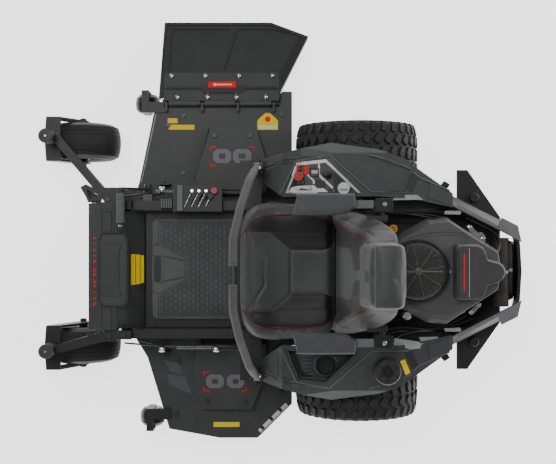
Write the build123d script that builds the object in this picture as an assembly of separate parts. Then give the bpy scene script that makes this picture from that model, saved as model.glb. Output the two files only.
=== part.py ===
from build123d import *
import math
import os

# A ride-on zero turn mower, in millimetres.
#
# Machine frame, used by every function below: x runs to the rear from the drive axle, y runs to the
# machine's right from its centreline, z runs up from the ground. write_parts() moves everything to the
# row frame, whose origin is on the ground under the middle of the whole machine's box.

# ---- driving dimensions -------------------------------------------------------------------------
RUN = 0.05            # radial running clearance of every turning or sliding fit
GAP = 0.4             # clearance between parts that only pass each other

# drive wheels
DRIVE_TYRE_D = 536
DRIVE_TYRE_W = 268
DRIVE_RIM_R = 143
DRIVE_Y = 494
DRIVE_Z = DRIVE_TYRE_D / 2
AXLE_R = 15
# front casters
CASTER_TYRE_D = 336
CASTER_TYRE_W = 158
CASTER_RIM_R = 80
CASTER_PIVOT_X = -1318
CASTER_TRAIL = 92
CASTER_RIGHT_Y = 564
CASTER_LEFT_Y = -339
CASTER_AXLE_Z = CASTER_TYRE_D / 2
CASTER_AXLE_X = CASTER_PIVOT_X + CASTER_TRAIL
FORK_PLATE_Z = 354
FORK_HALF = 96
STEM_R = 15
# chassis
RAIL_Y = 276
RAIL_W = 38
RAIL_IN = RAIL_Y - RAIL_W / 2
RAIL_OUT = RAIL_Y + RAIL_W / 2
RAIL_Z0 = 332
RAIL_Z1 = 400
TUBE_WALL = 3
RAIL_FRONT_X = -1020
RAIL_REAR_X = 430
FLOOR_Z = 316
ENGINE_PLATE_Z = 406
BUMPER_X = 663
# cutting deck
DECK_TOP_Z = 196
DECK_BOTTOM_Z = 70
COVER_TOP_Z = 238
DECK_PLATE = 5
DECK_LEFT_Y = -764
DECK_REAR_X = -283
BLADE_R = 254
BLADE_Z = 82
SPINDLES = {"right": (-550, 470), "centre": (-748, -8), "left": (-550, -486)}
PULLEY_R = 60
BELT_Z = 207
BELT_W = 10
CLUTCH_R = 62
IDLERS = ((-350, 150), (-350, -150))
IDLER_R = 32
ROLLERS = {"right": (-942, 747, 104), "left": (-920, -682, 104)}
ROLLER_R = 57
# discharge chute
CHUTE_Y = 733
CHUTE_Z = 212
CHUTE_TIP_Y = 1113
CHUTE_FRONT_X = -870
CHUTE_REAR_X = -331
# seat and controls
SEAT_HINGE_X = -455
SEAT_HINGE_Z = 486
ARMREST_PIVOT = (60, 778)
LEVER_X = -431
LEVER_Y = 430
LEVER_Z = 560
SWING_Z = 610
LEVER_TUBE_R = 12.5
GRIP_R = 16
GRIP_START = 0.15
PEDAL_PIVOT = (-905, 380)
PEDAL_BAR = (-1004, 500)
# engine
CRANK = (205, 6)
SHROUD_Z = 700
SCREEN_R = 112
# controls on the fenders
KEY = (-80, 338)
PTO = (-262, 388)
THROTTLE = (-150, 396)
FUEL_CAP = (96, -402)
HEIGHT_PIN = (-616, 336)
DIPSTICK = (118, 172)

# The row frame's origin, in the machine frame.
ORIGIN_X = (CASTER_AXLE_X - CASTER_TYRE_D / 2 + BUMPER_X) / 2
ORIGIN_Y = (DECK_LEFT_Y + CHUTE_TIP_Y) / 2


# ---- helpers ------------------------------------------------------------------------------------
def block(x0, x1, y0, y1, z0, z1):
    """A box from the places of its six sides."""
    size = (abs(x1 - x0), abs(y1 - y0), abs(z1 - z0))
    return Pos((x0 + x1) / 2, (y0 + y1) / 2, (z0 + z1) / 2) * Box(*size)


def prism(points, push):
    """A polygon in space, extruded along the vector push."""
    face = Face(Wire.make_polygon([Vector(*p) for p in points], close=True))
    push = Vector(*push)
    return extrude(face, amount=push.length, dir=push.normalized())


def slab(outline, z0, z1):
    """A plan outline of (x, y) points between two heights."""
    return prism([(x, y, z0) for x, y in outline], (0, 0, z1 - z0))


def side_slab(outline, y0, y1):
    """A side outline of (x, z) points between two widths."""
    return prism([(x, y0, z) for x, z in outline], (0, y1 - y0, 0))


def front_slab(outline, x0, x1):
    """A front outline of (y, z) points between two lengths."""
    return prism([(x0, y, z) for y, z in outline], (x1 - x0, 0, 0))


def rod(start, end, radius):
    """A round bar between two points."""
    start, end = Vector(*start), Vector(*end)
    along = end - start
    return extrude(Plane(start, z_dir=along) * Circle(radius), amount=along.length)


def rod_x(x0, x1, y, z, radius):
    return rod((x0, y, z), (x1, y, z), radius)


def rod_y(x, y0, y1, z, radius):
    return rod((x, y0, z), (x, y1, z), radius)


def rod_z(x, y, z0, z1, radius):
    return rod((x, y, z0), (x, y, z1), radius)


def hexagon(x, y, z0, z1, across):
    """An upright hexagon, such as a bolt's head, by its size across the flats."""
    return Pos(x, y, z0) * extrude(RegularPolygon(across / 2, 6, major_radius=False), amount=z1 - z0)


def bolt(x, y, z, across=17, height=9):
    """A flange bolt's head standing on a face at height z."""
    flange = rod_z(x, y, z, z + 2, across * 0.62)
    return flange + hexagon(x, y, z + 2, z + height, across)


def box_tube(x0, x1, y0, y1, z0, z1, along):
    """A rectangular tube with open ends, lying along x or y."""
    w = TUBE_WALL
    if along == "x":
        return block(x0, x1, y0, y1, z0, z1) - block(x0 - 1, x1 + 1, y0 + w, y1 - w, z0 + w, z1 - w)
    return block(x0, x1, y0, y1, z0, z1) - block(x0 + w, x1 - w, y0 - 1, y1 + 1, z0 + w, z1 - w)


def spun(profile, centre):
    """A closed (radius, y) profile turned about an axle along y through centre."""
    face = Face(Wire.make_polygon([Vector(r, w, 0) for r, w in profile], close=True))
    return Pos(*centre) * revolve(face, Axis.Y, 360)


def turned(profile, x, y):
    """A closed (radius, z) profile turned about an upright axis."""
    face = Face(Wire.make_polygon([Vector(r, 0, z) for r, z in profile], close=True))
    return Pos(x, y, 0) * revolve(face, Axis.Z, 360)


def other_side(shape):
    """The same shape on the machine's other side."""
    return mirror(shape, about=Plane.XZ)


def both_sides(*shapes):
    return [*shapes, *[other_side(s) for s in shapes]]


def group(*shapes):
    """Separate solids that share one node."""
    return Compound([s for shape in shapes for s in shape.solids()])


# ---- wheels -------------------------------------------------------------------------------------
def tyre(diameter, width, rim_r, shoulder, centre):
    """A tubeless tyre: a nearly flat tread, rounded shoulders and bulged walls down to the rim."""
    r, half, bead = diameter / 2, width / 2, rim_r + 0.3
    belly = (bead + r) / 2
    wall = [(bead, half * 0.80), (bead + 16, half * 0.93), (belly, half), (r - shoulder, half * 0.97),
            (r - shoulder * 0.30, half - shoulder * 0.42), (r - 3, half - shoulder * 1.3), (r, half * 0.18)]
    return spun([(a, -w) for a, w in wall] + list(reversed(wall)), centre)


def drive_rim(side):
    """A pressed steel rim with a dished disc, its axle hub, the axle shaft and five wheel nuts."""
    centre = (0, DRIVE_Y * side, DRIVE_Z)
    half = DRIVE_TYRE_W * 0.41
    barrel = [(DRIVE_RIM_R - 6, -half), (DRIVE_RIM_R, -half), (DRIVE_RIM_R, half), (DRIVE_RIM_R - 6, half)]
    disc = [(AXLE_R, 56), (70, 56), (104, 40), (DRIVE_RIM_R - 5, 40), (DRIVE_RIM_R - 5, 46), (106, 46), (72, 62),
            (AXLE_R, 62)]
    hub = [(AXLE_R, -8), (34, -8), (34, 56), (AXLE_R, 56)]
    rim = spun([(r, w * side) for r, w in barrel], centre) + spun([(r, w * side) for r, w in disc], centre)
    hub = spun([(r, w * side) for r, w in hub], centre)
    shaft = rod_y(0, side * (DRIVE_Y - 134), side * (DRIVE_Y + 74), DRIVE_Z, AXLE_R)
    nuts = []
    for k in range(5):
        a = math.radians(90 + 72 * k)
        x, z = 48 * math.cos(a), DRIVE_Z + 48 * math.sin(a)
        nuts.append(rod_y(x, side * (DRIVE_Y + 62), side * (DRIVE_Y + 74), z, 8))
    return group(rim, hub, shaft, *nuts)


def caster_rim(y):
    """A moulded rim with a web and a long hub for the axle's bearings."""
    half = CASTER_TYRE_W * 0.40
    bead = CASTER_RIM_R
    profile = [(bead - 7, half), (bead, half), (bead, -half), (bead - 7, -half), (bead - 14, -12), (31, -12),
               (29, -74), (9.5 + RUN, -74), (9.5 + RUN, 74), (29, 74), (31, 12), (bead - 14, 12)]
    return spun(profile, (CASTER_AXLE_X, y, CASTER_AXLE_Z))


def caster_fork(y):
    """A fork: its plate, two raked legs, the swivel stem, and the axle with spacers and nuts."""
    x0, x1 = CASTER_PIVOT_X - 30, CASTER_PIVOT_X + 32
    ax, az = CASTER_AXLE_X, CASTER_AXLE_Z
    thick = 9
    corners = [(x0, y - FORK_HALF), (x1, y - FORK_HALF), (x1, y + FORK_HALF), (x0, y + FORK_HALF), (x0 - 7, y)]
    plate = slab(corners, FORK_PLATE_Z, FORK_PLATE_Z + 10)
    leg = [(x0, FORK_PLATE_Z), (x1, FORK_PLATE_Z), (ax + 28, az + 30), (ax + 28, az - 22), (ax + 14, az - 30),
           (ax - 14, az - 30), (ax - 28, az - 10)]
    inner = FORK_HALF - thick
    pin = rod_y(ax, y - FORK_HALF - 14, y + FORK_HALF + 14, az, 9.5)
    legs = [side_slab(leg, y + inner, y + FORK_HALF) - pin, side_slab(leg, y - FORK_HALF, y - inner) - pin]
    washers = [rod_y(ax, y + s * (74 + GAP), y + s * inner, az, 20) - pin for s in (1, -1)]
    nuts = [rod_y(ax, y + s * FORK_HALF, y + s * (FORK_HALF + 12), az, 15) - pin for s in (1, -1)]
    stem = rod_z(CASTER_PIVOT_X, y, FORK_PLATE_Z + 10, 484, STEM_R)
    return group(plate, *legs, pin, *washers, *nuts, stem)


# ---- chassis ------------------------------------------------------------------------------------
def main_frame():
    """The two box rails, the cross tubes between them, the engine plate, and the seat's hinge ears."""
    rail = box_tube(RAIL_FRONT_X, RAIL_REAR_X, RAIL_IN, RAIL_OUT, RAIL_Z0, RAIL_Z1, "x")
    cross = [box_tube(x, x + 50, -RAIL_IN, RAIL_IN, RAIL_Z0, RAIL_Z1, "y") for x in (-470, 380)]
    cross.append(box_tube(RAIL_FRONT_X, RAIL_FRONT_X + 34, -RAIL_IN, RAIL_IN, RAIL_Z0, RAIL_Z0 + 50, "y"))
    plate = block(60, RAIL_REAR_X, -RAIL_OUT, RAIL_OUT, RAIL_Z1, ENGINE_PLATE_Z) - rod_z(*CRANK, 380, 420, 62)
    riser = box_tube(-480, -430, -RAIL_IN, RAIL_IN, RAIL_Z1, 470, "y")
    pin = rod_y(SEAT_HINGE_X, 108, 172, SEAT_HINGE_Z, 6)
    ears = [block(-463, -447, y, y + 8, 470, 496) - pin for y in (104, 168)]
    return group(*both_sides(rail), *cross, plate, riser, *both_sides(pin, *ears))


GUSSETS = (
    ([(-1184, 351), (-1160, 363), (-1092, 331), (-1092, 292), (-1150, 292)],
     [(-1160, 342), (-1110, 320), (-1110, 304), (-1144, 304)]),
    ([(-1167, -262), (-1150, -280), (-1092, -282), (-1092, -258), (-1148, -258)],
     [(-1146, -266), (-1106, -274), (-1106, -264), (-1140, -263)]),
)


def front_frame():
    """The square tubes out to the casters, the bearing tubes on their ends, and the gussets."""
    z0, z1 = 402, 440
    right = slab([(-1300, 548), (-1290, 586), (-1084, 350), (-1084, 292)], z0, z1)
    left = slab([(-1304, -360), (-1296, -322), (-1084, -260), (-1084, -304)], z0, z1)
    cross = block(-1084, -1030, -304, 350, z0, z1)
    legs = [block(-1030, -970, y, y + RAIL_W, RAIL_Z1, z1) for y in (RAIL_IN, -RAIL_OUT)]
    parts = [cross, *legs]
    for arm, y in ((right, CASTER_RIGHT_Y), (left, CASTER_LEFT_Y)):
        parts.append(arm - rod_z(CASTER_PIVOT_X, y, 360, 490, 28))
        parts.append(rod_z(CASTER_PIVOT_X, y, 368, 476, 28) - rod_z(CASTER_PIVOT_X, y, 360, 480, STEM_R + RUN))
        cap = [(0, 492), (24, 492), (30, 484), (30, 476), (STEM_R + 4, 476), (STEM_R + 4, 486), (0, 486)]
        parts.append(turned(cap, CASTER_PIVOT_X, y))
    for outline, hole in GUSSETS:
        parts.append(slab(outline, z1, z1 + 5) - slab(hole, z1 - 1, z1 + 6))
    return group(*parts)


def footrest():
    """The moulded front footrest: an upright nose, a flat ridge, and a slope down to the floor."""
    skin = [(-1145, 366), (-1145, 400), (-1116, 452), (-1048, 452), (-1026, 447), (-926, 338), (-926, FLOOR_Z + 4),
            (-931, FLOOR_Z + 4), (-931, 336), (-1028, 442), (-1049, 447), (-1113, 447), (-1140, 399), (-1140, 366)]
    cheek = [(-1140.5, 380), (-1140.5, 400), (-1118, 439), (-1086, 439), (-1086, 400), (-1100, 380)]
    body = side_slab(skin, -254, 288)
    for y in (-254, 282):
        body = body + side_slab(cheek, y, y + 6)
    for y0, y1 in ((250, 300), (-300, -250)):
        body = body - block(-1030, -900, y0, y1, 300, 460)
    return body


def floor_pan():
    """The steel floor between the footrest and the seat, and its two side plates."""
    floor = block(-924, -480, -RAIL_IN, RAIL_IN, FLOOR_Z - 4, FLOOR_Z)
    side = block(-924, -480, RAIL_IN - 4, RAIL_IN, FLOOR_Z, RAIL_Z1 - 4)
    battery_tray = block(-420, -250, -RAIL_IN, RAIL_IN, RAIL_Z0, RAIL_Z0 + 4)
    return group(floor, *both_sides(side), battery_tray)


def floor_mats():
    """The rubber floor mat, notched at its front, and the rubber pad on the footrest's ridge."""
    mat = slab([(-898, -206), (-882, -222), (-506, -222), (-506, 222), (-882, 222), (-898, 206),
                (-898, 56), (-872, 56), (-872, -56), (-898, -56)], FLOOR_Z, FLOOR_Z + 14)
    pad = slab([(-1100, -106), (-1092, -114), (-1052, -114), (-1052, 114), (-1092, 114), (-1100, 106)], 452, 462)
    return group(mat, pad)


def battery():
    """The starting battery in its tray under the seat, with two terminal posts."""
    case = block(-402, -272, -98, 98, RAIL_Z0 + 4, 478)
    posts = [rod_z(-290, y, 478, 490, 8) for y in (-78, 78)]
    return group(case, *posts)


# ---- body work ----------------------------------------------------------------------------------
FENDER_PLAN = [(-413, 467), (-282, 496), (-126, 528), (-77, 519), (61, 499), (164, 461), (256, 398), (372, 320),
               (372, 262), (200, 296), (60, 306), (-330, 306), (-413, 372)]
FENDER_SIDE = [(-413, 424), (-413, 470), (-330, 560), (-250, 592), (-120, 612), (140, 612), (372, 566), (372, 480),
               (320, 480), (292, 560), (-292, 560), (-346, 424)]


def fender_shell():
    """A moulded fender: its plan outline cut to its side profile and hollowed from below."""
    outer = slab(FENDER_PLAN, 400, 660) & side_slab(FENDER_SIDE, 200, 600)
    # The outer edge falls away in a wide bevel, as if cut by a plane that leans in towards the top.
    bevel = prism([(-500, 560, 540), (-500, 430, 662), (-500, 620, 662)], (900, 0, 0))
    crown = outer - bevel
    inner_plan = [(x + (5 if x < -300 else -5 if x > 300 else 0), y - (5 if y > 390 else -5)) for x, y in FENDER_PLAN]
    inner_side = [(-408, 410), (-408, 464), (-328, 553), (-249, 586), (-120, 606), (140, 606), (367, 560),
                  (367, 470), (-408, 380)]
    cavity = slab(inner_plan, 380, 660) & side_slab(inner_side, 190, 610)
    cavity = cavity - prism([(-500, 556, 532), (-500, 424, 656), (-500, 620, 656)], (900, 0, 0))
    return crown - cavity


PANEL = [(-318, 320), (-268, 446), (-150, 458), (-8, 320)]


def inset(outline, by):
    """A convex outline drawn in towards its middle by a share of its size."""
    cx = sum(x for x, _ in outline) / len(outline)
    cy = sum(y for _, y in outline) / len(outline)
    return [(x + (cx - x) * by, y + (cy - y) * by) for x, y in outline]


def panel_layer(outline, drop, thick):
    """A plate with the given plan, lying drop below the fender's top surface."""
    top = [(-346, 548), (-250, 592), (-120, 612), (60, 612)]
    upper = [(x, z - drop) for x, z in top]
    lower = [(x, z - drop - thick) for x, z in reversed(top)]
    return slab(outline, 480, 680) & side_slab(upper + lower, 250, 520)


def right_fender():
    """The right fender, with the opening that its control panel fills."""
    return fender_shell() - slab(PANEL, 480, 680)


def control_panel():
    """The control panel in the right fender, with the holes and the slot that its controls stand in."""
    plate = panel_layer(inset(PANEL, 0.012), 2, 8)
    plate = plate - rod_z(*KEY, 480, 680, 9 + RUN) - rod_z(*PTO, 480, 680, 8 + RUN)
    tx, ty = THROTTLE
    plate = plate - block(tx - 32, tx + 34, ty - 5, ty + 5, 480, 680)
    pin = rod_y(tx, ty - 14, ty + 14, 570, 3)
    ears = [block(tx - 8, tx + 8, y, y + 4, 562, 594) - pin for y in (ty - 14, ty + 10)]
    return group(plate, pin, *ears)


def left_fender():
    """The left fender, which covers the fuel tank, with its tray opening and its filler neck."""
    shell = other_side(fender_shell()) - other_side(slab(PANEL, 480, 680))
    neck = rod_z(*FUEL_CAP, 600, 632, 36) - rod_z(*FUEL_CAP, 590, 640, 31)
    return group(shell - rod_z(*FUEL_CAP, 560, 680, 36), neck)


def cup_tray():
    """The storage tray let into the left fender, with a round cup well sunk in its floor."""
    rim_out = [(x, -y) for x, y in inset(PANEL, 0.012)]
    rim_in = [(x, -y) for x, y in inset(PANEL, 0.10)]
    rim = panel_layer_left(rim_out, 0, 44) - slab(rim_in, 480, 680)
    floor = panel_layer_left(rim_in, 40, 5) - rod_z(-150, -384, 480, 680, 45)
    cup = rod_z(-150, -384, 530, 590, 45) - rod_z(-150, -384, 534, 600, 41)
    return rim + floor + cup


def panel_layer_left(outline, drop, thick):
    return other_side(panel_layer([(x, -y) for x, y in outline], drop, thick))


def rear_guard():
    """The rear guard: raked upper wings, the bumper bar, lower wing plates and the hitch tongue."""
    outline = [(380, 316), (508, 252), (636, 188)]
    wings = []
    for (xa, ya), (xb, yb) in zip(outline, outline[1:]):
        low = [(xa, ya, 480), (xb, yb, 480), (xb, yb - 8, 480), (xa, ya - 8, 480)]
        high = [(xa - 6, ya - 46, 562), (xb - 6, yb - 46, 562), (xb - 6, yb - 54, 562), (xa - 6, ya - 54, 562)]
        rings = [Face(Wire.make_polygon([Vector(*p) for p in ring], close=True)) for ring in (low, high)]
        wings.append(loft(rings))
    bar = slab([(639, 188), (656, 116), (BUMPER_X, 0), (656, -116), (639, -188), (625, -188), (642, -116),
                (649, 0), (642, 116), (625, 188)], 480, 536)
    posts = slab([(RAIL_REAR_X, RAIL_IN), (RAIL_REAR_X, RAIL_OUT), (639, 188), (636, 168)], 430, 480)
    stub = block(RAIL_REAR_X - 60, RAIL_REAR_X, RAIL_IN, RAIL_OUT, ENGINE_PLATE_Z, 480)
    low_wing = slab([(421, 427), (466, 427), (607, 225), (607, 130), (RAIL_REAR_X + 1, 130),
                     (RAIL_REAR_X + 1, 300), (421, 300)], 384, 392)
    bridge = block(RAIL_REAR_X, 607, -130, 130, 384, 392)
    tongue = block(607, 650, -36, 36, 384, 392) - rod_z(628, 0, 380, 396, 9.5)
    return group(*both_sides(*wings, posts, stub, low_wing), bar, bridge + tongue)


# ---- engine -------------------------------------------------------------------------------------
def engine_block():
    """The crankcase and its two finned cylinders, which point back to either side."""
    cx, cy = CRANK
    case = rod_z(cx, cy, ENGINE_PLATE_Z, 556, 98)
    sump = block(cx - 110, cx + 70, cy - 92, cy + 92, ENGINE_PLATE_Z, 470)
    parts = case + sump
    for s in (1, -1):
        turn = Pos(cx, cy, 0) * Rot(0, 0, 42 * s)
        parts = parts + turn * block(60, 210, -52, 52, 470, 590)
        for k in range(5):
            parts = parts + turn * block(100 + 22 * k, 106 + 22 * k, -62, 62, 460, 604)
    tube = rod_z(*DIPSTICK, 520, 620, 12) - rod_z(*DIPSTICK, 530, 640, 7 + RUN)
    foot = block(DIPSTICK[0] - 12, cx - 60, DIPSTICK[1] - 100, DIPSTICK[1] + 12, 490, 522)
    parts = parts + tube + (foot - rod_z(*DIPSTICK, 530, 640, 7 + RUN))
    return parts - rod_z(cx, cy, 380, 620, 20 + RUN)


SHROUD_PLAN = [(80, 110), (80, -98), (150, -150), (255, -205), (335, -214), (430, -150), (548, -74), (562, 6),
               (548, 86), (430, 160), (335, 222), (255, 214), (150, 158)]


def engine_shroud():
    """The engine's cooling shroud: a low dome with a round mouth over the flywheel."""
    cx, cy = CRANK
    upper = inset(SHROUD_PLAN, 0.10)
    low = [Vector(x, y, 610) for x, y in SHROUD_PLAN]
    high = [Vector(x, y, SHROUD_Z) for x, y in upper]
    dome = loft([Face(Wire.make_polygon(low, close=True)), Face(Wire.make_polygon(high, close=True))])
    low_in = [Vector(x, y, 605) for x, y in inset(SHROUD_PLAN, 0.04)]
    high_in = [Vector(x, y, SHROUD_Z - 5) for x, y in inset(SHROUD_PLAN, 0.14)]
    hollow = loft([Face(Wire.make_polygon(low_in, close=True)), Face(Wire.make_polygon(high_in, close=True))])
    collar = rod_z(cx, cy, SHROUD_Z - 5, SHROUD_Z + 26, SCREEN_R + 12)
    return (dome - hollow + collar) - rod_z(cx, cy, 600, 760, SCREEN_R + 5)


def air_cleaner_cover():
    """The air cleaner's cover, raised behind the flywheel, with a sloping tail."""
    side = [(352, SHROUD_Z), (352, 752), (372, 772), (452, 772), (500, 745), (536, SHROUD_Z)]
    front = [(-112, SHROUD_Z), (-104, 752), (-84, 772), (96, 772), (116, 752), (124, SHROUD_Z)]
    return side_slab(side, -130, 140) & front_slab(front, 340, 540)


def crankshaft():
    """The crankshaft with its flywheel screen on top and the drive pulley below."""
    cx, cy = CRANK
    shaft = rod_z(cx, cy, 372, 690, 20)
    lower = rod_z(cx, cy, 196, 372, 15)
    pulley = turned([(20, 372), (50, 372), (58, 376), (52, 382), (58, 388), (50, 392), (20, 392)], cx, cy)
    screen = turned([(0, 690), (SCREEN_R, 690), (SCREEN_R, 728), (SCREEN_R - 10, 738), (0, 742)], cx, cy)
    return group(shaft + lower + screen, pulley)


def clutch_pulley():
    """The electric clutch's pulley, free to turn on the crankshaft's lower end."""
    cx, cy = CRANK
    z = BELT_Z
    outline = [(15 + RUN, z - 6), (CLUTCH_R + 8, z - 6), (CLUTCH_R + 8, z - 1), (CLUTCH_R, z - 1),
               (CLUTCH_R, z + BELT_W + 1), (CLUTCH_R + 8, z + BELT_W + 1), (CLUTCH_R + 8, z + 18), (50, z + 30),
               (15 + RUN, z + 30)]
    return turned(outline, cx, cy)


def muffler():
    """The muffler across the back of the engine, with its two exhaust pipes and outlet."""
    can = rod_y(574, -147, 137, 520, 38)
    inlets = [rod((395, s * 150, 520), (560, s * 62, 520), 16) - can for s in (1, -1)]
    outlet = rod((580, -108, 494), (616, -108, 462), 14) - can
    return group(can, *inlets, outlet)


def transaxles():
    """The two hydrostatic transaxles, each with its axle horn and its input pulley housing."""
    horn_end = DRIVE_Y - 12
    body = side_slab([(-110, 232), (-80, 196), (70, 196), (110, 226), (110, 300), (80, 326), (-90, 326), (-110, 300)],
                     118, 318)
    horn = rod_y(0, 318, horn_end, DRIVE_Z, 30) - rod_y(0, 318, horn_end + 1, DRIVE_Z, AXLE_R + RUN)
    pot = rod_z(-20, 170, 326, 352, 46)
    return group(*both_sides((body - rod_y(0, 300, 330, DRIVE_Z, AXLE_R + RUN)) + horn, pot))


def dipstick():
    """The oil dipstick: a blade in its tube and a ring-shaped grip."""
    x, y = DIPSTICK
    blade = rod_z(x, y, 534, 621, 7)
    grip = rod_z(x, y, 621, 636, 17)
    return blade + grip


# ---- cutting deck -------------------------------------------------------------------------------
DECK_OUTLINE = [(-870, CHUTE_Y), (-905, 690), (-970, 381), (-1018, 250), (-1018, -262), (-932, -401), (-834, -723),
                (-607, DECK_LEFT_Y), (-437, DECK_LEFT_Y), (DECK_REAR_X, -610), (DECK_REAR_X, CHUTE_Y)]


def wall(a, b, z0, z1, thick):
    """An upright plate along a deck edge from a to b, standing on the inside of that edge."""
    (xa, ya), (xb, yb) = a, b
    length = math.hypot(xb - xa, yb - ya)
    nx, ny = -(yb - ya) / length * thick, (xb - xa) / length * thick
    trim = thick
    ux, uy = (xb - xa) / length * trim, (yb - ya) / length * trim
    return slab([(xa + ux, ya + uy), (xb - ux, yb - uy), (xb - ux + nx, yb - uy + ny), (xa + ux + nx, ya + uy + ny)],
                z0, z1)


def deck_shell():
    """The welded deck: a top plate with three spindle holes and the skirt plates under its edge."""
    top = slab(DECK_OUTLINE, DECK_TOP_Z - DECK_PLATE, DECK_TOP_Z)
    top = top + block(-331, DECK_REAR_X, CHUTE_Y, 792, DECK_TOP_Z - DECK_PLATE, DECK_TOP_Z)
    for x, y in SPINDLES.values():
        top = top - rod_z(x, y, 180, 200, 38)
    skirts = [wall(a, b, DECK_BOTTOM_Z, DECK_TOP_Z - DECK_PLATE, DECK_PLATE)
              for a, b in zip(DECK_OUTLINE, DECK_OUTLINE[1:])]
    return group(top, *skirts)


def belt_covers():
    """The two raised covers over the outer spindle pulleys, open towards the middle."""
    right = [(-649, 622), (-713, 405), (-700, 330), (-400, 330), (-380, 420), (-443, 622)]
    left = [(-724, -440), (-684, -627), (-462, -628), (-400, -470), (-400, -340), (-700, -340)]
    covers = []
    for outline in (right, left):
        lid = slab(outline, COVER_TOP_Z - 4, COVER_TOP_Z)
        rim = slab(outline, DECK_TOP_Z, COVER_TOP_Z - 4) - slab(inset(outline, 0.035), DECK_TOP_Z - 1, COVER_TOP_Z)
        mouth_y = 340 if outline is right else -350
        mouth = block(-760, -340, mouth_y, 0, DECK_TOP_Z - 1, COVER_TOP_Z - 5)
        covers.append(lid + (rim - mouth))
    return group(*covers)


def spindle_housings():
    """The three cast spindle housings: a flange on the deck and a bearing barrel below it."""
    parts = []
    for x, y in SPINDLES.values():
        profile = [(12.5 + RUN, 132), (30, 132), (37.7, 150), (37.7, DECK_TOP_Z), (58, DECK_TOP_Z), (58, 202),
                   (12.5 + RUN, 202)]
        parts.append(turned(profile, x, y))
    return group(*parts)


def blade_set(name):
    """A spindle: its shaft, the pulley on top, and the mowing blade bolted underneath."""
    x, y = SPINDLES[name]
    z = BELT_Z
    shaft = rod_z(x, y, BLADE_Z - 12, 228, 12.5) + rod_z(x, y, BLADE_Z + 6, 130, 24)
    pulley = turned([(12.5, 203), (PULLEY_R + 8, 203), (PULLEY_R + 8, z - 1), (PULLEY_R, z - 1),
                     (PULLEY_R, z + BELT_W + 1), (PULLEY_R + 8, z + BELT_W + 1), (PULLEY_R + 8, z + 14), (12.5, z + 14)],
                    x, y)
    outline = [(-BLADE_R, -30), (BLADE_R, -30), (BLADE_R, 18), (BLADE_R * 0.68, 32), (-BLADE_R * 0.68, 32),
               (-BLADE_R, 18)]
    half = math.hypot(BLADE_R, 30)
    outline = [(u * BLADE_R / half, v) for u, v in outline]
    angle = {"right": 62, "centre": 20, "left": -35}[name]
    blade = Pos(x, y, 0) * Rot(0, 0, angle) * slab(outline, BLADE_Z, BLADE_Z + 6) - rod_z(x, y, 60, 100, 12.5)
    head = hexagon(x, y, BLADE_Z - 14, BLADE_Z, 30) - rod_z(x, y, 60, 100, 12.5)
    return group(shaft, pulley, blade, head)


def belt_loop(run, grow):
    """A closed belt line round pulleys given as (x, y, radius, side), at a distance grow outside it.

    side is 1 where the belt passes round the pulley's far side and -1 where its back runs on an idler.
    """
    edges = []
    n = len(run)
    wheels = [(x, y, (r + grow) if s > 0 else (r + BELT_W - grow), s) for x, y, r, s in run]
    spans = []
    for i in range(n):
        x0, y0, r0, s0 = wheels[i]
        x1, y1, r1, s1 = wheels[(i + 1) % n]
        d = math.hypot(x1 - x0, y1 - y0)
        base = math.atan2(y1 - y0, x1 - x0)
        lean = math.acos((s0 * r0 - s1 * r1) / d)
        a = base - lean
        spans.append(((x0 + s0 * r0 * math.cos(a), y0 + s0 * r0 * math.sin(a)),
                      (x1 + s1 * r1 * math.cos(a), y1 + s1 * r1 * math.sin(a))))
    for i in range(n):
        start, end = spans[i]
        edges.append(Edge.make_line(Vector(*start), Vector(*end)))
        x, y, r, s = wheels[(i + 1) % n]
        nxt = spans[(i + 1) % n][0]
        a0 = math.atan2(end[1] - y, end[0] - x)
        a1 = math.atan2(nxt[1] - y, nxt[0] - x)
        turn = (a1 - a0) % math.tau if s > 0 else -((a0 - a1) % math.tau)
        mid = a0 + turn / 2
        middle = (x + r * math.cos(mid), y + r * math.sin(mid))
        edges.append(Edge.make_three_point_arc(Vector(*end), Vector(*middle), Vector(*nxt)))
    return Face(Wire(edges))


def deck_belt():
    """The blade belt, from the engine's clutch round the three spindles, with two back-side idlers."""
    right, centre, left = SPINDLES["right"], SPINDLES["centre"], SPINDLES["left"]
    gap = 0.3
    run = [(*CRANK, CLUTCH_R + gap, 1), (*IDLERS[0], IDLER_R + gap, -1), (*right, PULLEY_R + gap, 1),
           (*centre, PULLEY_R + gap, 1), (*left, PULLEY_R + gap, 1), (*IDLERS[1], IDLER_R + gap, -1)]
    loop = belt_loop(run, BELT_W) - belt_loop(run, 0)
    return Pos(0, 0, BELT_Z) * extrude(loop, amount=BELT_W, dir=(0, 0, 1))


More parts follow.
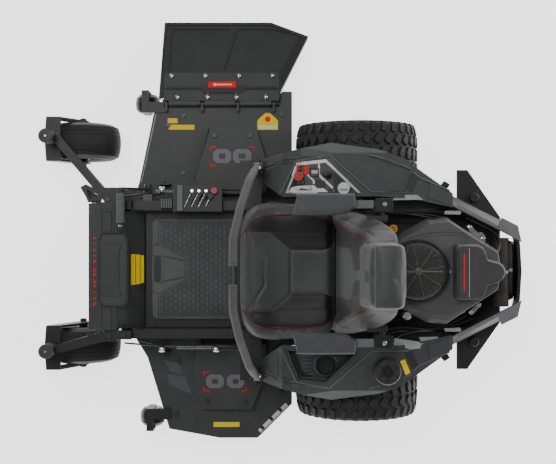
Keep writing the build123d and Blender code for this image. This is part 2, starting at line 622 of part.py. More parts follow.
def deck_brackets():
    """What is welded or bolted to the deck: roller forks, chute hinge, idlers and lift lugs."""
    parts = []
    for x, y, z in ROLLERS.values():
        s = 1 if y > 0 else -1
        pin = rod_y(x, y - 50, y + 50, z, 8)
        ears = [block(x - 16, x + 16, y + t * 44, y + t * 50, z - 16, 200) - pin for t in (-1, 1)]
        top = block(x - 16, x + 16, y - 50, y + 50, 200, 206)
        back = block(x + 16, x + 96, y - 24 - s * 26, y + 24 - s * 26, DECK_TOP_Z, 204)
        parts += [pin, *ears, top + back]
    parts.append(rod_x(-858, -343, CHUTE_Y, CHUTE_Z, 6))
    for x in (-850, -690, -530, -370):
        lug = block(x, x + 10, 700, CHUTE_Y + 8, DECK_TOP_Z, CHUTE_Z + 9)
        parts.append(lug - rod_x(-880, -320, CHUTE_Y, CHUTE_Z, 6))
    for x, y in IDLERS:
        drum = turned([(6, 203), (IDLER_R + 5, 203), (IDLER_R + 5, BELT_Z - 1), (IDLER_R, BELT_Z - 1),
                       (IDLER_R, BELT_Z + BELT_W + 1), (IDLER_R + 5, BELT_Z + BELT_W + 1), (IDLER_R + 5, 223), (6, 223)],
                      x, y)
        parts += [drum, rod_z(x, y, DECK_TOP_Z, 230, 6)]
    for x, y in ((-851, 374), (-380, 296), (-851, -374), (-380, -296)):
        lug = block(x - 24, x + 24, y - 4, y + 4, DECK_TOP_Z, 262) - rod_y(x, y - 5, y + 5, 246, 6)
        parts.append(lug)
        parts.append(rod_y(x, y - 12, y + 12, 246, 6))
    return group(*parts)


def deck_bolts():
    """The deck's visible bolts, on its top plate and on the belt covers."""
    on_deck = [(-772, 425), (-771, 684), (-792, -421), (-840, 640), (-800, -660), (-330, 690), (-330, -560)]
    on_cover = [(-630, 590), (-470, 590), (-490, -600), (-660, -596)]
    heads = [bolt(x, y, DECK_TOP_Z) for x, y in on_deck] + [bolt(x, y, COVER_TOP_Z) for x, y in on_cover]
    return group(*heads)


def roller(name):
    """An anti-scalp roller: a barrel with rounded ends on its own axle pin."""
    x, y, z = ROLLERS[name]
    half = 40
    profile = [(8 + RUN, -half), (40, -half), (53, -half + 14), (ROLLER_R, 0), (53, half - 14), (40, half), (8 + RUN, half)]
    return spun(profile, (x, y, z))


# ---- discharge chute ----------------------------------------------------------------------------
CHUTE_SLOPE = 0.20


def chute_height(y):
    """The height of the chute's upper face, which falls away from the hinge."""
    return CHUTE_Z + 12 - (y - CHUTE_Y) * CHUTE_SLOPE


def chute_sheet(outline, thick, lift=0.0):
    """A sheet with the given plan, lying in the chute's sloping plane."""
    face = Face(Wire.make_polygon([Vector(x, y, chute_height(y) + lift) for x, y in outline], close=True))
    return extrude(face, amount=thick, dir=(0, 0, -1))


def chute_flap():
    """The rubber discharge chute with its turned-down rear edge and front ear."""
    plan = [(-879, 760), (-861, CHUTE_TIP_Y), (-377, CHUTE_TIP_Y), (-209, 1048), (-335, 790), (-335, 760)]
    sheet = chute_sheet(plan, 8)
    rear = chute_sheet([(-209, 1048), (-335, 790), (-343, 790), (-217, 1048)], 64, -8)
    front = chute_sheet([(-879, 760), (-861, CHUTE_TIP_Y), (-853, CHUTE_TIP_Y), (-871, 760)], 44, -8)
    return sheet + rear + front


def chute_bracket():
    """The steel hinge plate on the chute, its barrels on the hinge rod, and its bolts."""
    plate = chute_sheet([(-856, 747), (-856, 876), (-341, 876), (-341, 747)], 5, 5.5)
    hinge_bore = rod_x(-900, -300, CHUTE_Y, CHUTE_Z, 6 + RUN)
    for x in (-834, -674, -514):
        barrel = rod_x(x, x + 138, CHUTE_Y, CHUTE_Z, 10)
        strap = block(x, x + 138, CHUTE_Y, 759, CHUTE_Z, chute_height(759) + 4)
        plate = plate + ((barrel + strap) - hinge_bore)
    heads = []
    for y, xs in ((863, (-823, -672, -521, -371)), (775, (-795, -660, -532, -400))):
        for x in xs:
            z = chute_height(y) + 5.5
            heads.append(rod_z(x, y, z + 1.6, z + 8, 9))
    return group(plate, *heads)


# ---- seat ---------------------------------------------------------------------------------------
def seat_pan():
    """The hinged seat pan, its hinge barrels and the two slide rails on top of it."""
    plate = block(-470, -90, -215, 215, 500, 506)
    bore = rod_y(SEAT_HINGE_X, 90, 190, SEAT_HINGE_Z, 6 + RUN)
    barrel = rod_y(SEAT_HINGE_X, 112 + GAP, 168 - GAP, SEAT_HINGE_Z, 11)
    web = block(SEAT_HINGE_X - 6, SEAT_HINGE_X + 6, 112 + GAP, 168 - GAP, SEAT_HINGE_Z, 500)
    rail = block(-440, -120, 150, 172, 506, 520)
    return group(plate, *both_sides((barrel + web) - bore, rail))


def seat_cushion():
    """The seat cushion's overall form, and the base plate that slides on the pan's rails."""
    plan = [(-511, 170), (-498, 240), (-455, 284), (-300, 289), (-150, 270), (-112, 224)]
    plan = plan + [(x, -y) for x, y in reversed(plan)]
    side = [(-511, 548), (-500, 524), (-112, 524), (-112, 612), (-300, 622), (-440, 644), (-500, 620)]
    base = block(-460, -130, -190, 190, 520 + GAP, 524)
    return group(slab(plan, 524, 650) & side_slab(side, -300, 300), base)


def seat_back():
    """The backrest with its headrest, and the two armrest pivot pins on its frame."""
    side = [(-106, 530), (-106, 622), (-150, 650), (-72, 880), (-22, 1000), (18, 1086), (70, 1100), (113, 1072), (92, 960),
            (40, 760), (-20, 560), (-60, 530)]
    half = [(224, 560), (228, 640), (228, 860), (190, 940), (120, 1000), (116, 1086), (90, 1102)]
    front = [(-y, z) for y, z in half] + [(y, z) for y, z in reversed(half)] + [(190, 530), (-190, 530)]
    back = side_slab(side, -230, 230) & front_slab(front, -200, 140)
    x, z = ARMREST_PIVOT
    pin = rod_y(x, 200, 292, z, 8)
    lug = block(x - 60, x + 16, 200, 226, z - 18, z + 18) - pin - back
    return group(back - pin - other_side(pin), *both_sides(pin), *both_sides(lug))


def right_armrest():
    """A flip-up armrest: its pivot boss, the link plate and the pad."""
    x, z = ARMREST_PIVOT
    bore = rod_y(x, 240, 300, z, 8 + RUN)
    boss = rod_y(x, 250, 286, z, 17)
    link = side_slab([(x, z - 17), (x, z + 17), (-38, 790), (-120, 790), (-120, 778)], 262, 274)
    pad = slab([(-294, 246), (-282, 234), (-54, 234), (-42, 246), (-42, 300), (-54, 312), (-282, 312), (-294, 300)],
               790, 838)
    return group((boss + link) - bore, pad)


# ---- controls -----------------------------------------------------------------------------------
def lever_brackets():
    """The two brackets that carry the lap bars, each with its two ears and pivot bolt."""
    post = block(-480, -420, RAIL_IN, RAIL_OUT, RAIL_Z1, 470)
    plate = block(-505, -416, RAIL_IN, 462, 470, 478)
    web = front_slab([(RAIL_OUT, 340), (RAIL_OUT, 470), (440, 470)], -458, -450)
    pin = rod_y(LEVER_X, 396, 464, LEVER_Z, 8)
    ear = [(-462, 478), (-416, 478), (-416, 572), (-422, 578), (-442, 578)]
    ears = [side_slab(ear, y, y + 6) - pin for y in (404, 450)]
    return group(*both_sides(post, plate, web, pin, *ears))


def right_lever_base():
    """The lap bar's fore and aft pivot block, with the yoke and bolt for swinging the bar out."""
    bore = rod_y(LEVER_X, 400, 460, LEVER_Z, 8 + RUN)
    boss = rod_y(LEVER_X, 411, 449, LEVER_Z, 15)
    neck = block(LEVER_X - 11, LEVER_X + 11, 417, 443, LEVER_Z, 588)
    seat = block(LEVER_X - 25, LEVER_X + 25, 416, 444, 584, 592)
    pin = rod_x(LEVER_X - 30, LEVER_X + 30, LEVER_Y, SWING_Z, 6)
    ears = [block(LEVER_X + a, LEVER_X + b, 416, 444, 592, 626) - pin for a, b in ((-25, -16), (16, 25))]
    return group((boss + neck) - bore + seat, pin, *ears)


LEVER_ROUTE = [(-431, 430, 612), (-434, 420, 650), (-457, 363, 780), (-490, 248, 880), (-513, 135, 938), (-513, 37, 950)]


def right_lever():
    """A lap bar: its pivot foot, the bent tube and the foam grip."""
    foot = rod_x(LEVER_X - 15.5, LEVER_X + 15.5, LEVER_Y, SWING_Z, 14)
    points = [Vector(*p) for p in LEVER_ROUTE]
    path = FilletPolyline(*points, radius=[30, 90, 110, 70])
    tube = sweep(Plane(path @ 0, z_dir=path % 0) * Circle(LEVER_TUBE_R), path=path)
    whole = (foot + tube) - rod_x(LEVER_X - 30, LEVER_X + 30, LEVER_Y, SWING_Z, 6 + RUN)
    grip_path = path.trim(GRIP_START, 0.985)
    plane = Plane(grip_path @ 0, z_dir=grip_path % 0)
    grip = sweep(plane * (Circle(GRIP_R) - Circle(LEVER_TUBE_R + 0.05)), path=grip_path)
    return group(whole, grip)


def height_gate():
    """The cutting height selector: a stand on the rail, a plate with slots, and the fuse box beside it."""
    stand = block(-760, -600, RAIL_IN, RAIL_OUT, RAIL_Z1, 422)
    plate = block(-779, -584, 248, 361, 422, 430)
    for k in range(5):
        slot = Pos(-726 + 24 * k, 300, 420) * Rot(0, 0, 62) * Box(52, 9, 40)
        plate = plate - slot
    plate = plate - rod_z(*HEIGHT_PIN, 400, 440, 6 + RUN)
    cap = block(-792, -779, 248, 361, 400, 436)
    fuse_box = block(-846, -796, 262, 303, RAIL_Z1, 436)
    return group(stand, plate, cap, fuse_box)


def height_pin():
    """The pull pin that sets the cutting height, with its round grip."""
    return rod_z(*HEIGHT_PIN, 404, 440, 6) + rod_z(*HEIGHT_PIN, 432, 452, 13)


def foot_pedal():
    """The deck lift pedal: its cross bar, its arm and its boss on the pivot bolt."""
    px, pz = PEDAL_PIVOT
    bx, bz = PEDAL_BAR
    bore = rod_y(px, 320, 370, pz, 9 + RUN)
    boss = rod_y(px, 330, 356, pz, 19)
    arm = side_slab([(px - 15, pz - 12), (px + 15, pz + 12), (bx + 14, bz + 12), (bx - 12, bz - 10)], 338, 348)
    bar = rod_y(bx, 190, 338, bz, 16)
    return group((boss + arm) - bore, bar)


def frame_bolts():
    """The chassis's visible fasteners: on the footrest, the engine plate, and the pedal's pivot."""
    heads = [bolt(x, y, z) for x, y, z in ((-1066, 300, 440), (-1060, -280, 440), (-1000, 276, 440),
                                          (-1000, -276, 440), (85, 235, ENGINE_PLATE_Z), (85, -235, ENGINE_PLATE_Z),
                                          (400, 235, ENGINE_PLATE_Z), (400, -235, ENGINE_PLATE_Z))]
    px, pz = PEDAL_PIVOT
    stub = block(px - 20, px + 20, RAIL_OUT, 322, pz - 20, 398)
    pin = rod_y(px, 322, 366, pz, 9)
    washer = rod_y(px, 357, 366, pz, 15) - pin
    return group(*heads, stub, pin, washer)


def pto_knob():
    """The pull switch that engages the blades."""
    return rod_z(*PTO, 560, 600, 8) + rod_z(*PTO, 592, 612, 19)


def key_switch():
    """The rotary ignition switch."""
    x, y = KEY
    bow = block(x - 18, x + 18, y - 3, y + 3, 628, 646)
    return rod_z(x, y, 586, 628, 9) + rod_z(x, y, 613, 628, 24) + bow


def throttle_lever():
    """The throttle's lever, on a pin under the panel, with its knob above the slot."""
    x, y = THROTTLE
    boss = rod_y(x, y - 8, y + 8, 570, 8) + rod_z(x, y, 570, 640, 4)
    return (boss - rod_y(x, y - 20, y + 20, 570, 3 + RUN)) + rod_z(x, y, 628, 648, 10)


def fuel_cap():
    """The fuel cap, which turns on the filler neck."""
    outline = [(0, 634), (36 + RUN, 634), (36 + RUN, 618), (54, 618), (56, 624), (56, 640), (50, 648), (0, 650)]
    return turned(outline, *FUEL_CAP)


# ---- output -------------------------------------------------------------------------------------
def all_parts():
    """Every node's shape by name, in the machine frame."""
    drive = (DRIVE_TYRE_D, DRIVE_TYRE_W, DRIVE_RIM_R, 44)
    caster = (CASTER_TYRE_D, CASTER_TYRE_W, CASTER_RIM_R, 34)
    made = {
        "main_frame": main_frame(),
        "front_frame": front_frame(),
        "footrest": footrest(),
        "floor_pan": floor_pan(),
        "floor_mats": floor_mats(),
        "battery": battery(),
        "right_fender": right_fender(),
        "control_panel": control_panel(),
        "left_fender": left_fender(),
        "cup_tray": cup_tray(),
        "rear_guard": rear_guard(),
        "frame_bolts": frame_bolts(),
        "engine_block": engine_block(),
        "engine_shroud": engine_shroud(),
        "air_cleaner_cover": air_cleaner_cover(),
        "crankshaft": crankshaft(),
        "clutch_pulley": clutch_pulley(),
        "muffler": muffler(),
        "dipstick": dipstick(),
        "transaxles": transaxles(),
        "deck_shell": deck_shell(),
        "belt_covers": belt_covers(),
        "spindle_housings": spindle_housings(),
        "deck_belt": deck_belt(),
        "deck_brackets": deck_brackets(),
        "deck_bolts": deck_bolts(),
        "chute_flap": chute_flap(),
        "chute_bracket": chute_bracket(),
        "seat_pan": seat_pan(),
        "seat_cushion": seat_cushion(),
        "seat_back": seat_back(),
        "lever_brackets": lever_brackets(),
        "height_gate": height_gate(),
        "height_pin": height_pin(),
        "foot_pedal": foot_pedal(),
        "pto_knob": pto_knob(),
        "key_switch": key_switch(),
        "throttle_lever": throttle_lever(),
        "fuel_cap": fuel_cap(),
    }
    for name in SPINDLES:
        made[f"{name}_blade"] = blade_set(name)
    for name in ROLLERS:
        made[f"{name}_roller"] = roller(name)
    for name, side, caster_y in (("right", 1, CASTER_RIGHT_Y), ("left", -1, CASTER_LEFT_Y)):
        made[f"{name}_drive_tyre"] = tyre(*drive, (0, DRIVE_Y * side, DRIVE_Z))
        made[f"{name}_drive_rim"] = drive_rim(side)
        made[f"{name}_caster_fork"] = caster_fork(caster_y)
        made[f"{name}_caster_rim"] = caster_rim(caster_y)
        made[f"{name}_caster_tyre"] = tyre(*caster, (CASTER_AXLE_X, caster_y, CASTER_AXLE_Z))
    for name, shape in (("armrest", right_armrest()), ("lever_base", right_lever_base()), ("lever", right_lever())):
        made[f"right_{name}"] = shape
        made[f"left_{name}"] = other_side(shape)
    return made


def write_parts():
    os.makedirs("parts", exist_ok=True)
    for name, shape in all_parts().items():
        solids = Compound([s for s in shape.solids()])
        export_step(Pos(-ORIGIN_X, -ORIGIN_Y, 0) * solids, f"parts/{name}.step")


if __name__ == "__main__":
    write_parts()
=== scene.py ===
# %% [markdown]
# # A zero turn mower, dressed around its CAD frame
# The steel and the moving parts are already modelled and come in as a fixed frame. This lesson adds what a
# drawing board can't: stitched vinyl, tread, moulded grain, foam and paint. Every place is worked out from
# the frame, so a piece always lands on the part it belongs to.

# %% Load the frame
import math

import bmesh
import bpy
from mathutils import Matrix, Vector


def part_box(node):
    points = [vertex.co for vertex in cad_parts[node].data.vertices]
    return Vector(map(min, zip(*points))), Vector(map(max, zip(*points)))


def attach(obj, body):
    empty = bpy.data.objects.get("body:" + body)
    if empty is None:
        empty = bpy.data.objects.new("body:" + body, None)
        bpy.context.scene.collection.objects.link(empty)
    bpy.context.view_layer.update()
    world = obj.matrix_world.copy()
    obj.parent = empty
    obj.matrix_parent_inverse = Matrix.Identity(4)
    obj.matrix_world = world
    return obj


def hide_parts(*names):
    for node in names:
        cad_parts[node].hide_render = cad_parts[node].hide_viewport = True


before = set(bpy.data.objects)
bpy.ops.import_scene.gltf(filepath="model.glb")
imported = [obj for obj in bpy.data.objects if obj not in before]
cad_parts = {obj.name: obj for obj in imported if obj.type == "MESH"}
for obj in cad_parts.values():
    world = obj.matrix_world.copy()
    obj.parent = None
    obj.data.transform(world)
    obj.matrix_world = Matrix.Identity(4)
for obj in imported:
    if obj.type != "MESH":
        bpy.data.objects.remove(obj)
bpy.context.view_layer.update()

# %% [markdown]
# ## Where things are
# A mower is drawn in its own millimetres: x back from the drive axle, y to the machine's right, z up from the
# ground. The drive wheels give that origin, so one small function turns those millimetres into the frame's
# metres.

# %% The machine's own millimetres
wheel_low, wheel_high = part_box("right_drive_tyre")
other_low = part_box("left_drive_tyre")[0]
AXLE = Vector(((wheel_low.x + wheel_high.x) / 2, (wheel_high.y + other_low.y) / 2, 0.0))
SIDES = (("right", 1), ("left", -1))


def at(x, y, z):
    """A point given in the machine's millimetres, as a vector in the frame's metres."""
    return AXLE + Vector((x, y, z)) / 1000


def mm(node):
    """A CAD node's lowest and highest corner in the machine's millimetres."""
    low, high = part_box(node)
    return (low - AXLE) * 1000, (high - AXLE) * 1000


def top_of(node, x, y):
    """The height, in millimetres, of the highest surface of a CAD node under a point."""
    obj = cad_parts[node]
    hit, place, _, _ = obj.ray_cast(obj.matrix_world.inverted() @ at(x, y, 2000), Vector((0, 0, -1)))
    return (obj.matrix_world @ place).z * 1000 if hit else 0.0


print("axle at", tuple(round(v, 4) for v in AXLE))

# %% [markdown]
# ## Colours and nodes
# Paint shops and moulders name colours by sRGB hex. Shaders add light in linear values, so one function turns
# the hex into linear. One more adds any node with its settings and links, which keeps each material to a few
# readable lines.

# %% Two helpers for every material
def linear(hexa):
    """A six-digit sRGB hex colour as a linear colour with alpha."""
    channels = [int(hexa[k:k + 2], 16) / 255 for k in (0, 2, 4)]
    return (*[c / 12.92 if c <= 0.04045 else ((c + 0.055) / 1.055) ** 2.4 for c in channels], 1.0)


def add(tree, kind, settings=None, links=None):
    """Adds a node, sets its properties and sockets by name, and links sockets to other nodes' outputs."""
    node = tree.nodes.new(kind)
    for key, value in (settings or {}).items():
        if isinstance(key, str) and hasattr(node, key):
            setattr(node, key, value)
        else:
            node.inputs[key].default_value = value
    for key, output in (links or {}).items():
        tree.links.new(output, node.inputs[key])
    return node


print("mid grey is", round(linear("808080")[0], 3), "in linear light")

# %% [markdown]
# ## A surface with a grain
# Most finishes here are the same story: a colour that drifts a little, a gloss that drifts with it, and a
# fine relief. Powder coat has orange peel, moulded plastic has an etched grain, cast metal has sand marks.
# They differ in size, so the sizes are given in millimetres and turned into texture scales.

# %% One builder for grained surfaces
def grained(name, dark, light, rough, grain_mm, depth_mm, patch_mm=60, metal=0.0, ior=1.5, spread=0.08,
            **sockets):
    """A material whose colour drifts between two hexes over patches, with a fine relief of a real size."""
    material = bpy.data.materials.new(name)
    material.use_nodes = True
    tree = material.node_tree
    shader = tree.nodes["Principled BSDF"]
    shader.inputs["Metallic"].default_value = metal
    if metal < 0.5:
        shader.inputs["IOR"].default_value = ior
    for key, value in sockets.items():
        shader.inputs[key.replace("_", " ")].default_value = value
    place = add(tree, "ShaderNodeTexCoord")
    patches = add(tree, "ShaderNodeTexNoise", {"Scale": 1000 / patch_mm, "Detail": 4.0, "Roughness": 0.6},
                  {"Vector": place.outputs["Object"]})
    ramp = add(tree, "ShaderNodeValToRGB", {}, {"Fac": patches.outputs["Fac"]})
    ramp.color_ramp.elements[0].position, ramp.color_ramp.elements[1].position = 0.3, 0.7
    ramp.color_ramp.elements[0].color, ramp.color_ramp.elements[1].color = linear(dark), linear(light)
    gloss = add(tree, "ShaderNodeMapRange", {"To Min": rough - spread / 2, "To Max": rough + spread / 2},
                {"Value": patches.outputs["Fac"]})
    grain = add(tree, "ShaderNodeTexNoise", {"Scale": 1000 / grain_mm, "Detail": 2.0},
                {"Vector": place.outputs["Object"]})
    relief = add(tree, "ShaderNodeBump", {"Strength": 0.6, "Distance": depth_mm / 1000},
                 {"Height": grain.outputs["Fac"]})
    tree.links.new(ramp.outputs["Color"], shader.inputs["Base Color"])
    tree.links.new(gloss.outputs["Result"], shader.inputs["Roughness"])
    tree.links.new(relief.outputs["Normal"], shader.inputs["Normal"])
    return material


print("one builder serves every grained finish")

# %% [markdown]
# ## Paint, plastic, rubber and metal
# Black powder coat on welded steel: electrostatic powder melts into a tough film with an orange peel of about
# 2 mm. It is a plastic skin, so its IOR is 1.5 and it isn't metallic, whatever lies beneath. The deck wears a
# slightly lighter, coarser charcoal powder.

# %% Steel finishes
POWDER_BLACK = grained("powder_coat_black", "1d1d1e", "252526", 0.46, 3.0, 0.25)
POWDER_CHARCOAL = grained("powder_coat_charcoal", "363738", "3f4041", 0.52, 3.0, 0.35)
ZINC = grained("zinc_plated_steel", "b9babb", "dfe0e0", 0.24, 5.0, 0.05, patch_mm=12, metal=1.0)
TURNED_STEEL = grained("turned_steel", "8d8e90", "b4b5b6", 0.30, 1.5, 0.05, patch_mm=10, metal=1.0)
TURNED_STEEL_DARK = grained("black_oxide_steel", "2b2b2c", "3a3a3b", 0.38, 1.5, 0.05, patch_mm=10)
BLADE_STEEL = grained("hardened_blade_steel", "5d5e60", "85868a", 0.36, 6.0, 0.10, patch_mm=25, metal=1.0)
CAST_ALUMINIUM = grained("sand_cast_aluminium", "6c6d6e", "8b8c8d", 0.50, 3.0, 0.40, patch_mm=30, metal=1.0)
MUFFLER_BLACK = grained("stove_black_muffler", "1c1b1b", "3a3532", 0.58, 3.0, 0.30, patch_mm=40)
CHROME = grained("chrome_plate", "cfd0d1", "e8e8e9", 0.10, 8.0, 0.01, patch_mm=20, metal=1.0, spread=0.03)

# %% [markdown]
# The big covers are moulded: polypropylene fenders and engine plastics come out of an acid-etched tool, so
# they are matt with a leather-like grain. Vehicle rubbers are duller still, and a tyre's is almost black.

# %% Plastic and rubber finishes
FENDER = grained("moulded_polypropylene_fender", "3d3e3f", "454647", 0.50, 2.4, 0.30)
COVER = grained("moulded_nylon_engine_cover", "3a3a3b", "424243", 0.52, 2.4, 0.30)
SHROUD = grained("moulded_nylon_shroud", "4e4e4f", "575758", 0.50, 2.4, 0.30)
FOOTREST = grained("moulded_polypropylene_footrest", "303132", "38393a", 0.52, 2.6, 0.30)
BLACK_PLASTIC = grained("moulded_abs_black", "141415", "1c1c1d", 0.40, 2.0, 0.20)
DARK_PLASTIC = grained("moulded_abs_dark_grey", "2a2a2b", "313132", 0.45, 2.0, 0.20)
GREY_PLASTIC = grained("moulded_abs_mid_grey", "5c5d5e", "666768", 0.48, 2.0, 0.20)
PANEL_FRAME = grained("painted_abs_silver", "c3c4c4", "d3d4d4", 0.30, 2.0, 0.08, Coat_Weight=0.3)
RED_PLASTIC = grained("moulded_abs_red", "a30d12", "c2161b", 0.30, 3.0, 0.08, patch_mm=20)
YELLOW_PLASTIC = grained("moulded_nylon_yellow", "d99a08", "e8ab12", 0.35, 3.0, 0.08, patch_mm=20)
TYRE = grained("tyre_rubber", "1b1b1c", "272728", 0.66, 2.0, 0.30, patch_mm=30, ior=1.52)
MAT = grained("moulded_rubber_mat", "575859", "626364", 0.72, 2.5, 0.30, ior=1.52)
MAT_DARK = grained("moulded_rubber_mat_field", "4a4b4c", "545556", 0.78, 2.5, 0.30, ior=1.52)
CHUTE = grained("moulded_rubber_chute", "292a2a", "303131", 0.62, 4.0, 0.50, ior=1.52)
BELT = grained("wrapped_belt_rubber", "1a1a1b", "242425", 0.72, 1.5, 0.20, ior=1.52)
ROLLER = grained("moulded_nylon_roller", "161617", "222223", 0.34, 4.0, 0.15)
FOAM = grained("closed_cell_foam_grip", "505051", "5b5b5c", 0.80, 1.6, 0.35, patch_mm=25)
URETHANE = grained("self_skinned_urethane", "434445", "4b4c4d", 0.60, 2.6, 0.35)
FOOTREST_DARK = grained("moulded_polypropylene_dark", "3a3b3c", "424344", 0.58, 2.6, 0.30)
SCREEN_PLASTIC = grained("moulded_nylon_screen", "4a4a48", "5a5a58", 0.38, 2.0, 0.15, patch_mm=15)
GREY_LIGHT = grained("satin_grey_plating", "9a9b9b", "adaeae", 0.34, 3.0, 0.08, patch_mm=20)
GUARD_GREY = grained("powder_coat_grey", "6e6f70", "7a7b7c", 0.46, 3.0, 0.25)
BAR_GREY = grained("printed_vinyl_dark_grey", "4a4b4d", "525355", 0.50, 3.0, 0.02, patch_mm=40)
DECAL_GREY = grained("printed_vinyl_grey", "68696b", "707173", 0.50, 3.0, 0.02, patch_mm=40)
LABEL_YELLOW = grained("printed_vinyl_yellow", "ffd800", "ffe21c", 0.55, 3.0, 0.02, patch_mm=40,
                       Specular_IOR_Level=0.2)
LABEL_RED = grained("printed_vinyl_red", "e5120c", "f22418", 0.55, 3.0, 0.02, patch_mm=40,
                    Specular_IOR_Level=0.2)
# A lighter copy of the tray grey for the raised ribs and the cup's ring: a painted highlight on their tops.
TRAY_RIB_HIGHLIGHT = grained("moulded_abs_tray_rib_painted_highlight", "55565a", "5f6063", 0.44, 2.0, 0.20, patch_mm=30)
TRAY = grained("moulded_abs_tray", "3b3c3d", "444546", 0.48, 2.0, 0.20, patch_mm=30)
# A lighter copy of the fender grey, laid along the fender creases as a painted highlight.
FENDER_CREASE_HIGHLIGHT = grained("painted_crease_highlight", "5a5b5c", "646566", 0.40, 2.4, 0.15)
WHITE_LABEL = grained("printed_vinyl_white", "d8d8d6", "e2e2e0", 0.40, 3.0, 0.02, patch_mm=40)
CABLE = grained("cable_sheath_pvc", "121213", "1b1b1c", 0.42, 4.0, 0.10)
print(len(bpy.data.materials), "materials so far")

# %% Give every CAD node its finish
NODE_FINISH = {
    POWDER_BLACK: ("main_frame", "front_frame", "floor_pan", "rear_guard", "lever_brackets", "height_gate",
                   "deck_brackets", "seat_pan", "right_lever_base", "left_lever_base", "foot_pedal",
                   "right_caster_fork", "left_caster_fork", "right_drive_rim", "left_drive_rim"),
    POWDER_CHARCOAL: ("deck_shell", "belt_covers", "chute_bracket"),
    TURNED_STEEL_DARK: ("frame_bolts", "deck_bolts"),
    TURNED_STEEL: ("crankshaft", "clutch_pulley"),
    BLADE_STEEL: ("right_blade", "centre_blade", "left_blade"),
    CAST_ALUMINIUM: ("engine_block", "transaxles", "spindle_housings"),
    MUFFLER_BLACK: ("muffler",),
    FENDER: ("right_fender", "left_fender"),
    COVER: ("air_cleaner_cover",),
    SHROUD: ("engine_shroud",),
    FOOTREST: ("footrest",),
    TRAY: ("cup_tray",),
    BLACK_PLASTIC: ("battery", "throttle_lever", "right_caster_rim", "left_caster_rim"),
    DARK_PLASTIC: ("fuel_cap",),
    PANEL_FRAME: ("control_panel", "key_switch"),
    RED_PLASTIC: ("pto_knob", "height_pin"),
    YELLOW_PLASTIC: ("dipstick",),
    TYRE: ("right_drive_tyre", "left_drive_tyre", "right_caster_tyre", "left_caster_tyre"),
    MAT: ("floor_mats",),
    CHUTE: ("chute_flap",),
    BELT: ("deck_belt",),
    ROLLER: ("right_roller", "left_roller"),
    URETHANE: ("right_armrest", "left_armrest", "seat_cushion", "seat_back"),
    FOAM: ("right_lever", "left_lever"),
}
for finish, names in NODE_FINISH.items():
    for node_name in names:
        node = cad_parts[node_name]
        node.data.materials.clear()
        node.data.materials.append(finish)
dressed = sum(len(names) for names in NODE_FINISH.values())
print(dressed, "of", len(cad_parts), "nodes have a finish")

# %% [markdown]
# ## Mesh helpers
# Almost every added piece is one of four things: a plate cut to an outline, a shape lofted through rings, a
# shape turned about an axle, or a rod swept along points. Each gets a helper that works in the machine's
# millimetres. A small bevel catches the light along the edges, as every real edge does.

# %% Pieces from corners and faces
def piece(name, corners, faces, material, body, bevel_mm=0.0, sharp_deg=35):
    """A mesh piece from corners in machine millimetres, riding on a body, with an optional edge bevel."""
    mesh = bpy.data.meshes.new(name)
    mesh.from_pydata([at(*c) for c in corners], [], faces)
    mesh.materials.append(material)
    mesh.validate()
    tidy = bmesh.new()
    tidy.from_mesh(mesh)
    bmesh.ops.recalc_face_normals(tidy, faces=tidy.faces)
    tidy.to_mesh(mesh)
    tidy.free()
    obj = bpy.data.objects.new(name, mesh)
    bpy.context.scene.collection.objects.link(obj)
    if bevel_mm:
        bevel = obj.modifiers.new("edge", "BEVEL")
        bevel.width = bevel_mm / 1000
        bevel.segments = 2
        bevel.limit_method = "ANGLE"
        bevel.angle_limit = math.radians(30)
    mesh.shade_smooth()
    mesh.set_sharp_from_angle(angle=math.radians(sharp_deg))
    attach(obj, body)
    return obj


def stack(rings, closed=True):
    """Corners and faces through rings with the same number of points, with flat ends unless open."""
    count = len(rings[0])
    corners = [c for ring in rings for c in ring]
    faces = []
    for k in range(len(rings) - 1):
        for i in range(count):
            j = (i + 1) % count
            faces.append((k * count + i, k * count + j, (k + 1) * count + j, (k + 1) * count + i))
    if closed:
        faces.append(tuple(range(count)))
        faces.append(tuple((len(rings) - 1) * count + i for i in range(count)))
    return corners, faces


def plate(name, outline, z0, z1, material, body, bevel_mm=1.0):
    """A flat plate with an (x, y) outline between two heights. A height may be a function of x and y."""
    low = z0 if callable(z0) else (lambda x, y: z0)
    high = z1 if callable(z1) else (lambda x, y: z1)
    rings = [[(x, y, low(x, y)) for x, y in outline], [(x, y, high(x, y)) for x, y in outline]]
    return piece(name, *stack(rings), material, body, bevel_mm)


def lathe(name, profile, centre, axis, material, body, turns=48, bevel_mm=0.0):
    """A closed (radius, distance) profile turned about an axis ("x", "y" or "z") through a centre."""
    spin = {"x": lambda r, a, d: (d, r * math.cos(a), r * math.sin(a)),
            "y": lambda r, a, d: (r * math.cos(a), d, r * math.sin(a)),
            "z": lambda r, a, d: (r * math.cos(a), r * math.sin(a), d)}[axis]
    rings = []
    for k in range(turns):
        a = math.tau * k / turns
        rings.append([tuple(c + o for c, o in zip(centre, spin(r, a, d))) for r, d in profile])
    corners, faces = stack(rings + [rings[0]], closed=False)
    last = len(profile) * turns
    faces = [tuple(i - last if i >= last else i for i in f) for f in faces]
    obj = piece(name, corners[:last], faces, material, body, bevel_mm, sharp_deg=32)
    tidy = bmesh.new()
    tidy.from_mesh(obj.data)
    bmesh.ops.remove_doubles(tidy, verts=tidy.verts, dist=1e-6)
    bmesh.ops.recalc_face_normals(tidy, faces=tidy.faces)
    tidy.to_mesh(obj.data)
    tidy.free()
    return obj


